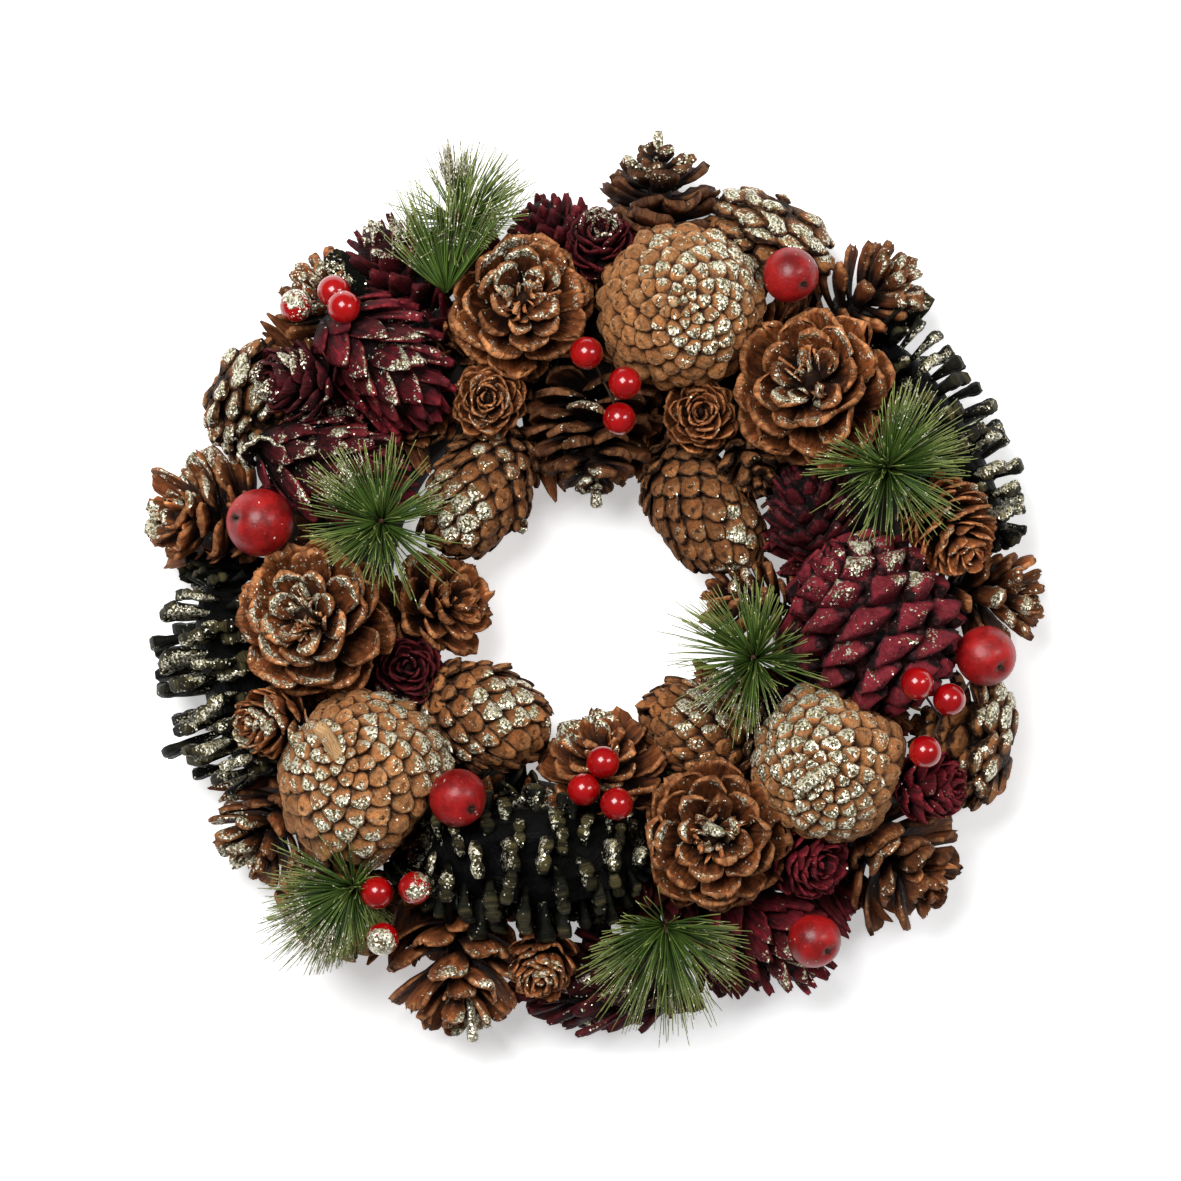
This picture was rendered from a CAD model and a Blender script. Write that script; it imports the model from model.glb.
"""The looks of a pinecone wreath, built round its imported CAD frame.

Places are in millimetres from the ring's centre until a mesh becomes an object, which is in metres.
Every cone is a dark core with scales, each a closed mesh, set round it by the golden angle. Its scales stay in
the same cell of space as its solid. The numbers and tables come first, then the meshes, the materials, the
pieces and the stage.
"""

import math
from collections import namedtuple

import bpy
import numpy as np
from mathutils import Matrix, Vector
from mathutils.geometry import intersect_line_line, intersect_point_line


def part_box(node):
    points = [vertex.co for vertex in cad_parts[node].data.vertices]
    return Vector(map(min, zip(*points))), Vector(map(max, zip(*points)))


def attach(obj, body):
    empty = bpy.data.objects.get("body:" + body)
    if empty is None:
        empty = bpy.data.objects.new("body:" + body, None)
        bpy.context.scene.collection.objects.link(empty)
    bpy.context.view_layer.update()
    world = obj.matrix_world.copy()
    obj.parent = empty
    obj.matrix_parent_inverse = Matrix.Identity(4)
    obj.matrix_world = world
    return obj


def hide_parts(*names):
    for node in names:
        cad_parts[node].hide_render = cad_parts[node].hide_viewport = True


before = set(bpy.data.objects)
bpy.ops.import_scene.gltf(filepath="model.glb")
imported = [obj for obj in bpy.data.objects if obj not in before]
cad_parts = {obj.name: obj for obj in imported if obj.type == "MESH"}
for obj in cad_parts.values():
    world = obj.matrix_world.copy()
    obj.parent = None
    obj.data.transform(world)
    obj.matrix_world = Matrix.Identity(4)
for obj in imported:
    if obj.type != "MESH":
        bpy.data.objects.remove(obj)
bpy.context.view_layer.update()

MM = 0.001
GOLDEN = math.pi * (3 - math.sqrt(5))
UP = np.array([0, 0, 1.0])
# A direction that no rod runs along.
SLANTED = (0.31, 0.17, 0.93)
SHORTEST = 1e-6
SMALLEST = 0.01

# A pixel of the photograph in millimetres, the photograph's size and the ring's centre in it, both in pixels.
PHOTO_PIXEL = 0.37
PHOTO_SIZE = 1181
CENTRE_IN_PHOTO = (592, 588)

# The ring and the twine round it.
RING_INNER_RADIUS = 74
RING_OUTER_RADIUS = 120
RING_HALF_DEPTH = 14
RING_BACK_DEPTH = 9
RING_MIDDLE_RADIUS = (RING_INNER_RADIUS + RING_OUTER_RADIUS) / 2
RING_HALF_WIDTH = (RING_OUTER_RADIUS - RING_INNER_RADIUS) / 2
SECTION_RADIUS = 18
TWINE_TURNS, TWINE_STEPS_IN_A_TURN, TWINE_RADIUS = 44, 20, 0.5

# How space is shared out between the pieces, as in the CAD model.
GAP = 0.3
HEIGHT_FOR_TWICE_THE_ROOM = 12
SCALE_SLACK = 2
LARGEST_CORE = 0.5
LINE_STEPS = 8
TABLE_CLEARANCE = 0.8
SPRAY_CORE_RADIUS = 3.6

# How far a scale's points and its end may pass a dividing plane before they are bent back, and those of the
# open cones that face the viewer. Tucked scales stay out of the inner part of what is round them.
POINT_SLACK, OPEN_POINT_SLACK = 2.8, 5.0
END_SLACK, OPEN_END_SLACK = 0.8, 3.5
INNER_PART = 0.82

# Needles, small berries, wires and cut stalks, whose radius runs along them as the profile has it.
NEEDLE_LENGTH = 31
NEEDLE_RADIUS = 0.34
NEEDLES, NEEDLES_IN_A_BUNCH = 290, 5
SMALL_BERRY_RADIUS = 6.1
WIRE_RADIUS = 0.45
STALK_PROFILE = [1.15, 1.0, 0.9, 0.86, 0.84, 0.86, 0.9, 0.72]

# How much single scales differ, those of open and of closed cones too, as standard deviations, how high the
# ripples across them are, and how far below a closed cone's body its tiles are rooted and how wide they are.
SCALE_SPREAD = {"twist": 0.16, "sway": 0.06, "cup": 0.4, "warp": 0.22, "skew": 0.08}
OPEN_SPREAD = {
    "turn": 0.07, "lift": 0.03, "reach": 0.045, "aside": 0.035, "curl": 0.3, "width": 0.08, "thick": 0.10,
}
TILE_SPREAD = {"lift": 0.4, "width": 0.05, "swell": 0.1}
RIPPLE = 0.055
TILE_ROOT, TILE_HALF_WIDTH = 0.94, 0.66

# The swell of an open scale in millimetres, and what is left of a broken one.
OPEN_SWELL, CUPPED_SWELL = 0.5, 1.6
LEFT_OF_BROKEN = 0.3

# How light loose scales are, the luck, glitter and lightness of a cone's core, and how far apart in the
# streaks' noise two scales lie.
SHARD_SHADE, PETAL_SHADE, TUCKED_SHADE = 1.5, 0.45, 0.55
CORE_MOOD = (0.1, 0.0, 0.12)
GRAIN_SPREAD = 97

# How much glitter lies anywhere, over which shares of its radius a dusting fades out, how steep a surface may
# be to catch some, and how fine the flakes are.
STRAY_DUST = 0.05
DUSTING_FADES = (0.45, 1.15)
DUST_TILT = 0.35
FLAKES_IN_A_METRE = 1600

# The stage, in metres and watts. The photograph's scale holds at its level over the floor.
FLOOR_REACH = 3.0
SKY_STRENGTH = 0.15
SOFTBOXES = [
    ("key_softbox", (-0.5, 0.62, 1.7), (0.95, 0.95), 42),
    ("fill_softbox", (1.1, 0.35, 1.3), (0.4, 0.7), 10),
]
LIT_PLACE = (0, 0, 0.03)
SENSOR_WIDTH = 36
CAMERA_DISTANCE = 3.0
PHOTO_LEVEL = 0.04

# Where each kind of piece starts its random numbers.
CONE_SEED, DETAIL_SEED, SPRAY_SEED, BERRY_SEED = 100, 200, 300, 500
STALK_SEED, RING_SEED, TUCKED_SEED = 600, 700, 800

# A cone kind's core share, which divides space as in the CAD model.
CORE_SHARE = {
    "open": 0.42, "rim": 0.42, "tiered": 0.42, "ragged": 0.42, "thin": 0.42, "shingle": 0.62, "shield": 0.62,
    "finger": 0.50, "larch": 0.50, "closed": 0.86, "half": 0.84, "cupped": 0.80,
}

# The visible core of a cone: its share of the cone's width, and half its length as a share of the cone's.
CORE_LOOKS = {
    "closed": (0.88, 0.46), "half": (0.84, 0.46), "shield": (0.84, 0.46), "cupped": (0.60, 0.40),
    "shingle": (0.50, 0.46), "finger": (0.46, 0.46),
}
USUAL_CORE_LOOK = (0.17, 0.38)
WIDE_CORES = {"dark_cone_bottom": 0.60}

# The cones: where each lies, the azimuth and elevation that its tip points to, and its length and width.
Cone = namedtuple("Cone", "node kind place aim length width")
CONES = [
    Cone("open_cone_top_left", "open", (-27, 104, 50), (50, 80), 48, 55),
    Cone("open_cone_top_right", "open", (82, 73, 53), (115, 74), 52, 61),
    Cone("open_cone_left", "open", (-102, -13, 53), (135, 76), 50, 60),
    Cone("open_cone_bottom_right", "open", (44, -92, 53), (90, 85), 48, 57),
    Cone("rim_cone_top", "tiered", (25, 142, 27), (90, 10), 50, 49),
    Cone("rim_cone_top_right", "ragged", (101, 107, 28), (30, 12), 44, 42),
    Cone("rim_cone_right", "ragged", (144, -2, 25), (-5, 12), 44, 46),
    Cone("rim_cone_lower_right", "rim", (110, -100, 29), (-38, 18), 50, 48),
    Cone("rim_cone_bottom", "rim", (-45, -138, 29), (-92, 18), 52, 50),
    Cone("rim_cone_lower_left", "ragged", (-122, -90, 25), (-128, 12), 42, 42),
    Cone("rim_cone_left", "rim", (-140, 26, 30), (175, 30), 44, 52),
    Cone("rim_cone_top_left", "ragged", (-95, 103, 25), (132, 14), 40, 42),
    Cone("inner_cone_left", "rim", (-58, -8, 33), (20, 55), 42, 43),
    Cone("inner_cone_top", "tiered", (-1, 57, 34), (-88, 18), 46, 50),
    Cone("inner_cone_bottom", "rim", (4, -67, 38), (95, 42), 38, 50),
    Cone("inner_cone_right", "ragged", (61, -6, 32), (168, 15), 40, 38),
    Cone("closed_cone_top", "closed", (33, 103, 53), (90, -88), 58, 58),
    Cone("closed_cone_left", "closed", (-85, -69, 53), (-48, -65), 60, 61),
    Cone("closed_cone_right", "closed", (88, -65, 52), (40, -75), 60, 56),
    Cone("cupped_cone_left", "cupped", (-124, 69, 26), (-25, -10), 44, 48),
    Cone("cupped_cone_top", "cupped", (68, 130, 27), (-118, -15), 40, 52),
    Cone("cupped_cone_right", "cupped", (139, -58, 27), (165, -15), 42, 50),
    Cone("cupped_cone_lower_left", "cupped", (-96, -117, 26), (50, -12), 42, 46),
    Cone("inner_half_cone_upper_left", "half", (-41, 37, 32), (-120, 10), 52, 40),
    Cone("inner_half_cone_upper_right", "half", (41, 30, 32), (-55, 8), 54, 42),
    Cone("inner_half_cone_upper_right", "rim", (56, 48, 37), (-60, 20), 30, 30),
    Cone("inner_half_cone_lower_left", "half", (-40, -46, 34), (-20, 8), 50, 42),
    Cone("inner_half_cone_lower_right", "half", (36, -50, 32), (150, 8), 46, 38),
    Cone("thin_scaled_cone_right", "thin", (131, 23, 54), (-55, 35), 40, 34),
    Cone("larch_cone_upper_left", "larch", (-38, 69, 48), (90, 85), 26, 29),
    Cone("larch_cone_upper_right", "larch", (40, 64, 49), (90, 85), 26, 28),
    Cone("larch_cone_left", "larch", (-118, -49, 56), (190, 42), 30, 27),
    Cone("larch_cone_bottom", "larch", (-18, -138, 42), (-100, 45), 28, 26),
    Cone("burgundy_larch_inner_left", "larch", (-68, -31, 38), (90, 80), 26, 28),
    Cone("burgundy_larch_right", "larch", (124, -73, 47), (0, 30), 28, 28),
    Cone("burgundy_cone_upper_left", "shingle", (-78, 83, 50), (-40, 12), 60, 50),
    Cone("burgundy_cone_upper_left", "larch", (-108, 76, 57), (178, 30), 32, 30),
    Cone("burgundy_cone_left", "shingle", (-97, 45, 48), (-18, 8), 62, 42),
    Cone("burgundy_cone_top_left", "shingle", (-72, 117, 27), (128, 12), 42, 44),
    Cone("burgundy_cone_top", "shingle", (-15, 134, 27), (110, 15), 32, 34),
    Cone("burgundy_cone_top", "larch", (3, 131, 41), (90, 60), 28, 27),
    Cone("burgundy_cone_right", "shield", (104, -13, 51), (120, 10), 66, 60),
    Cone("burgundy_cone_right", "shingle", (80, 29, 38), (100, 20), 38, 34),
    Cone("burgundy_cone_lower_right", "shingle", (70, -128, 24), (-42, 8), 58, 40),
    Cone("burgundy_cone_lower_right", "larch", (85, -101, 45), (-20, 50), 28, 28),
    Cone("burgundy_cone_bottom", "shingle", (4, -146, 22), (180, 0), 66, 34),
    Cone("dark_cone_left", "finger", (-130, -33, 30), (95, 0), 82, 62),
    Cone("dark_cone_right", "finger", (134, 57, 28), (-63, 0), 92, 60),
    Cone("dark_cone_bottom", "finger", (-22, -99, 50), (0, 0), 84, 62),
]

# What a cone's colour is, by the first word of its node's name, where it isn't brown.
COLOURS = {"burgundy": "burgundy", "dark": "black_green", "closed": "tan", "cupped": "tan"}

LargeBerry = namedtuple("LargeBerry", "node place radius")
LARGE_BERRIES = [
    LargeBerry("large_berry_left", (-122, 24, 62), 12.6),
    LargeBerry("large_berry_top", (73, 115, 60), 10.4),
    LargeBerry("large_berry_bottom", (-49, -77, 70), 10.8),
    LargeBerry("large_berry_lower_right", (82, -130, 54), 10.0),
    LargeBerry("berry_pick_right", (145, -25, 56), 11.2),
]

BerryPick = namedtuple("BerryPick", "node hub berries")
BERRY_PICKS = [
    BerryPick(
        "berry_pick_upper_left", (-101, 106, 50), [(-109, 104, 54), (-95, 109, 58), (-91, 103, 68)]
    ),
    BerryPick("berry_pick_top", (4, 76, 60), [(-2, 86, 70), (12, 75, 74), (10, 62, 70)]),
    BerryPick("berry_pick_right", (128, -48, 58), [(119, -35, 74), (131, -41, 68), (122, -60, 72)]),
    BerryPick("berry_pick_bottom", (3, -72, 58), [(4, -64, 66), (-3, -74, 67), (9, -79, 74)]),
    BerryPick(
        "berry_pick_lower_left", (-72, -117, 52), [(-79, -112, 62), (-65, -110, 66), (-77, -129, 60)]
    ),
]

Spray = namedtuple("Spray", "node place aim")
SPRAYS = [
    Spray("needle_spray_top_left", (-49, 134, 58), (95, 50)),
    Spray("needle_spray_left", (-77, 24, 74), (90, 85)),
    Spray("needle_spray_upper_right", (108, 44, 72), (40, 80)),
    Spray("needle_spray_right", (60, -26, 55), (150, 80)),
    Spray("needle_spray_lower_left", (-88, -110, 56), (-130, 60)),
    Spray("needle_spray_bottom", (27, -124, 58), (-90, 60)),
]

# Which way the needles of a spray lean, as (x, y), where they don't follow its aim.
SPRAY_LEAN = {
    "needle_spray_top_left": (0.42, 0.55), "needle_spray_bottom": (-0.05, -0.72),
    "needle_spray_lower_left": (-0.02, -0.50), "needle_spray_right": (-0.15, 0.05),
}

# The spray that has fewer needles to its upper left, by this share, and shorter ones all round, and the tight
# bundle of needles that stands out of it.
THINNED, THINNED_BY, THINNED_LENGTH = "needle_spray_top_left", 0.7, 0.76
BUNDLE, BUNDLE_WAY, BUNDLE_SPREAD = 70, (-0.17, 0.97, 0.25), 0.04

# Fans of more needles that spread low over a range of directions, with their lengths at some of these.
Fan = namedtuple("Fan", "foot count spread rise at lengths dusty")
FANS = {
    "needle_spray_top_left": Fan(
        (-53.5, 108.0, 66.0), 110, (50, 142), (0.02, 0.45), [52, 108, 141], [50, 44, 31], 0.34
    ),
    "needle_spray_lower_left": Fan(
        (-88, -110, 56), 150, (190, 335), (-0.10, 0.40), [190, 215, 280, 335], [34, 40, 33, 29], 0.6
    ),
}

# The cut stalks of three closed cones, one broken off short, and how much glitter each carries.
Stalk = namedtuple("Stalk", "node start end radius dust")
STALKS = [
    Stalk("closed_cone_left", (-91, -65, 76), (-100, -50, 85), 3.3, 0.25),
    Stalk("closed_cone_right", (93, -62, 77), (74, -74, 84), 3.0, 0.85),
    Stalk("closed_cone_top", (29.6, 103.4, 76), (29.7, 103.8, 82.4), 2.0, 0.25),
]

# Which way a large berry's calyx faces, and the small berries that are capped with glitter.
CALYX_WAYS = {"large_berry_left": (-0.75, 0.15, 0.65)}
USUAL_CALYX_WAY = (0.5, -0.4, 0.75)
CAPPED = {"berry_pick_upper_left": (0,), "berry_pick_lower_left": (1, 2)}

# The rods at the tips of the top and bottom rim cones: points along them and the radii there.
TIP_RODS = [
    ([(24.6, 158, 30), (24.7, 163, 32), (24.4, 167, 33), (24.6, 169.6, 33)], [1.9, 1.7, 2.0, 1.5]),
    ([(20, 153, 33), (16, 156, 36), (13, 158.5, 37), (11.6, 159.4, 37)], [1.8, 1.8, 2.4, 1.4]),
    ([(29, 153, 33), (33, 156.5, 36), (37, 159, 37), (38.4, 159.8, 37)], [1.8, 1.7, 2.2, 1.4]),
]
GLITTER_STICK = [
    (-45.5, -141, 42), (-45.2, -148, 41), (-44.9, -155, 40), (-44.6, -160, 38), (-44.4, -164, 37),
    (-44.3, -167, 36), (-44.3, -168.2, 36),
]
GLITTER_STICK_RADII = [1.5, 1.7, 1.6, 1.7, 2.1, 2.2, 1.2]

# More bits thick with glitter: the node, points along it, the radii there and the shade.
GLITTERED = [
    (
        "inner_cone_top", [(0.5, 46, 40), (0.9, 40, 39), (1.3, 35, 37), (1.7, 31, 35), (1.8, 29.6, 35)],
        [2.0, 1.7, 1.8, 2.2, 1.2], 0.5,
    ),
    (
        "inner_half_cone_upper_left",
        [(-39, 26, 33), (-33, 25, 33), (-28, 23.6, 32), (-25, 23, 32), (-23.8, 22.9, 32)],
        [2.8, 2.4, 2.2, 2.7, 1.4], 0.4,
    ),
    (
        "open_cone_bottom_right",
        [(42, -87.4, 68), (42.8, -87.8, 73), (44.6, -88.5, 74.6), (46.8, -89.4, 74.4), (48, -89.9, 73.6)],
        [2.0, 2.2, 2.3, 2.1, 1.1], 0.8,
    ),
]

# Broad scales low at the bottom: the node, the root, the free end and half the width.
PETALS = [
    ("burgundy_cone_bottom", (-6, -146, 24), (-24, -157, 19), 6.5),
    ("burgundy_cone_bottom", (-2, -145, 25), (-14, -161, 17), 6.0),
    ("burgundy_cone_bottom", (-12, -145, 22), (-32, -150, 20), 5.0),
    ("burgundy_cone_bottom", (6, -146, 24), (1, -163, 17), 6.5),
    ("burgundy_cone_bottom", (18, -146, 22), (20, -162, 16), 6.0),
    ("burgundy_cone_bottom", (26, -146, 20), (34, -158, 16), 5.5),
    ("burgundy_cone_bottom", (30, -146, 20), (41, -157, 16), 3.6),
    ("burgundy_cone_lower_right", (50, -126, 22), (47.5, -152, 17), 3.4),
    ("burgundy_cone_lower_right", (55, -130, 22), (56, -151.5, 18), 3.4),
    ("burgundy_cone_lower_right", (60, -134, 22), (65.5, -147.5, 18), 2.6),
    ("burgundy_cone_lower_right", (67, -139, 22), (78, -144.5, 19), 2.3),
]

# The middle of the rim of one scale that has curled up, and that rim's radius.
CURLED_AT = (-121.0, 47.0, 62.0)
CURLED_RADIUS = 8.6

# Where loose dry scales were tucked in between the cones: their colour, and their tips as (x, y) in the
# photograph's pixels and a height in millimetres. They are stuck into the ring.
TUCKED = [
    ("brown", (448, 343, 40), (436, 360, 38), (458, 322, 38), (470, 350, 40)),
    ("burgundy", (348, 412, 40), (360, 428, 38), (335, 402, 36)),
    ("brown", (414, 437, 40), (450, 426, 38), (400, 450, 36), (296, 528, 38), (285, 540, 34), (533, 387, 38),
        (520, 395, 34), (593, 276, 38), (600, 300, 38)),
    ("black_green", (510, 791, 36)), ("brown", (495, 780, 34)), ("black_green", (530, 795, 36)),
    ("brown", (545, 783, 34)), ("black_green", (419, 836, 34), (432, 850, 32)),
    ("brown", (448, 847, 30), (405, 828, 34)), ("black_green", (650, 837, 36)), ("brown", (645, 852, 34)),
    ("burgundy", (652, 883, 30)), ("brown", (618, 901, 30)), ("black_green", (538, 820, 30)),
    ("brown", (310, 703, 36)), ("burgundy", (800, 560, 36)), ("brown", (765, 705, 36), (605, 364, 38)),
    ("black_green", (609, 828, 32)),
    ("brown", (646, 416, 36), (231, 792, 22), (460, 249, 34), (770, 313, 38), (884, 338, 26)),
    ("burgundy", (787, 679, 36)), ("black_green", (906, 322, 26)), ("brown", (404, 846, 36)),
    ("black_green", (396, 862, 30), (455, 832, 38)), ("brown", (486, 360, 36)),
    ("burgundy", (396, 438, 38), (382, 440, 38)), ("brown", (752, 330, 36)), ("burgundy", (430, 318, 44)),
    ("brown", (440, 330, 44)), ("burgundy", (447, 306, 44), (434, 343, 42)),
    ("brown", (425, 440, 44), (436, 455, 42), (414, 428, 42), (442, 430, 42)),
    ("burgundy", (678, 912, 32), (690, 926, 28), (702, 945, 24), (664, 900, 34)),
    ("brown", (788, 306, 34), (778, 297, 36), (797, 316, 34), (284, 331, 28)),
    ("burgundy", (778, 559, 36), (770, 548, 34)), ("brown", (905, 712, 38), (898, 700, 38)),
    ("black_green", (202, 573, 28)), ("burgundy", (782, 858, 36)), ("black_green", (531, 773, 38)),
    ("brown", (391, 871, 32)), ("burgundy", (272, 470, 42), (280, 482, 40), (606, 208, 30)),
    ("brown", (500, 404, 36)), ("black_green", (430, 899, 30), (446, 913, 26), (515, 889, 32), (529, 904, 28)),
    ("burgundy", (546, 911, 26), (618, 905, 28)), ("black_green", (629, 890, 32)),
    ("burgundy", (641, 914, 26), (602, 914, 26), (562, 905, 28)), ("brown", (480, 906, 26), (462, 919, 24)),
    ("burgundy", (455, 225, 34), (470, 236, 36), (481, 214, 30), (461, 205, 28)),
    ("brown", (768, 512, 36), (765, 495, 36)), ("burgundy", (771, 529, 36), (781, 576, 36), (786, 591, 38)),
    ("brown", (902, 723, 36), (893, 712, 38), (545, 425, 34), (640, 440, 34), (628, 458, 30), (560, 470, 30)),
    ("burgundy", (326, 405, 44), (331, 413, 44)),
    ("black_green", (535, 910, 38), (574, 914, 38), (608, 911, 40), (556, 908, 40), (590, 913, 38)),
    ("burgundy", (575, 925, 34), (722, 994, 26), (742, 1001, 26), (847, 927, 30), (857, 914, 30), (836, 936, 26)),
    ("black_green", (394, 874, 40)), ("brown", (801, 304, 46), (788, 303, 46), (276, 326, 32)),
    ("black_green", (912, 319, 30)), ("brown", (371, 963, 24), (418, 967, 22)),
    ("burgundy", (726, 995, 20), (841, 921, 26)), ("brown", (891, 919, 24), (563, 490, 30), (632, 474, 32)),
    ("black_green", (560, 375, 36)), ("brown", (914, 713, 34)), ("burgundy", (907, 738, 34)),
    ("brown", (748, 690, 36), (738, 672, 34), (752, 676, 34)), ("burgundy", (655, 906, 38)),
    ("black_green", (517, 930, 32)), ("brown", (512, 936, 28)), ("black_green", (667, 777, 36)),
    ("brown", (650, 765, 36), (800, 296, 30), (806, 290, 26), (832, 284, 24), (826, 275, 24)),
    ("black_green", (329, 398, 32), (324, 407, 30), (628, 921, 30)),
    ("burgundy", (621, 918, 32), (633, 927, 30), (652, 921, 30)), ("black_green", (332, 257, 34)),
    ("brown", (311, 338, 30), (691, 673, 34), (704, 680, 34), (269, 322, 34)), ("black_green", (396, 943, 22)),
    ("burgundy", (662, 1015, 20), (600, 1012, 20), (548, 1008, 18)),
]

# Where glitter was dusted on, as (x, y, radius) in the photograph's pixels and its strength.
DUSTED = [
    (382, 940, 17, 1.0), (415, 890, 10, 0.7), (512, 272, 38, 0.8), (520, 300, 78, 0.40), (714, 282, 56, 0.95),
    (700, 335, 44, 0.75), (665, 262, 40, 0.6), (680, 308, 82, 0.28), (800, 385, 40, 0.8), (817, 390, 88, 0.36),
    (765, 205, 55, 0.9), (815, 230, 40, 0.6), (900, 280, 45, 0.5), (925, 350, 32, 0.75), (916, 380, 24, 0.5),
    (995, 450, 36, 0.75), (1008, 500, 34, 0.85), (983, 475, 28, 0.6), (965, 410, 50, 0.35), (658, 160, 40, 0.35),
    (600, 225, 26, 0.5), (450, 165, 32, 0.9), (470, 220, 40, 0.5), (385, 235, 30, 0.8), (430, 262, 40, 0.3),
    (320, 290, 50, 0.5), (218, 372, 54, 1.0), (235, 425, 40, 0.9), (222, 400, 60, 0.8), (292, 362, 20, 0.55),
    (395, 360, 60, 0.5), (330, 455, 70, 0.50), (150, 520, 24, 0.8), (190, 475, 40, 0.6), (462, 510, 40, 0.8),
    (500, 460, 40, 0.35), (450, 490, 30, 0.5), (400, 560, 30, 0.3), (298, 600, 34, 0.95), (320, 655, 40, 0.75),
    (315, 622, 84, 0.52), (200, 610, 32, 0.8), (199, 660, 30, 0.85), (231, 679, 22, 0.7), (205, 715, 38, 0.85),
    (230, 760, 36, 0.9), (205, 655, 70, 0.4), (385, 720, 40, 0.7), (265, 715, 24, 0.7), (240, 855, 30, 0.8),
    (240, 815, 40, 0.4), (320, 752, 48, 0.85), (432, 755, 34, 0.8), (345, 812, 40, 0.6), (372, 848, 26, 0.55),
    (412, 725, 30, 0.8), (362, 770, 84, 0.25), (472, 1030, 26, 0.9), (468, 975, 60, 0.4), (540, 850, 90, 0.40),
    (455, 855, 55, 0.65), (625, 840, 40, 0.5), (505, 700, 40, 0.85), (470, 735, 40, 0.4), (565, 730, 26, 0.5),
    (600, 718, 20, 0.7), (605, 760, 50, 0.3), (700, 708, 34, 0.8), (690, 735, 40, 0.3), (715, 828, 26, 1.0),
    (672, 830, 20, 0.6), (715, 835, 82, 0.28), (800, 740, 64, 1.0), (830, 793, 52, 0.95), (830, 760, 78, 0.42),
    (900, 570, 26, 0.8), (860, 560, 30, 0.6), (920, 640, 24, 0.6), (868, 605, 90, 0.30), (1008, 710, 36, 0.9),
    (985, 770, 34, 0.5), (1010, 600, 45, 0.5), (955, 530, 40, 0.3), (905, 868, 50, 0.3), (790, 960, 40, 0.5),
    (600, 1005, 60, 0.3), (660, 1015, 40, 0.25), (590, 480, 18, 0.9), (580, 405, 26, 0.7), (590, 445, 50, 0.2),
    (295, 300, 14, 0.8), (735, 525, 30, 0.5), (703, 508, 60, 0.18), (489, 401, 36, 0.4), (699, 415, 36, 0.25),
    (540, 965, 34, 0.35), (445, 607, 50, 0.25), (590, 800, 30, 0.1), (933, 785, 34, 0.15), (310, 940, 50, 0.6),
    (640, 980, 50, 0.35), (700, 960, 50, 0.3), (870, 510, 50, 0.3), (740, 580, 30, 0.5), (720, 700, 40, 0.45),
    (310, 880, 40, 0.4), (905, 420, 40, 0.3),
]

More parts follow.
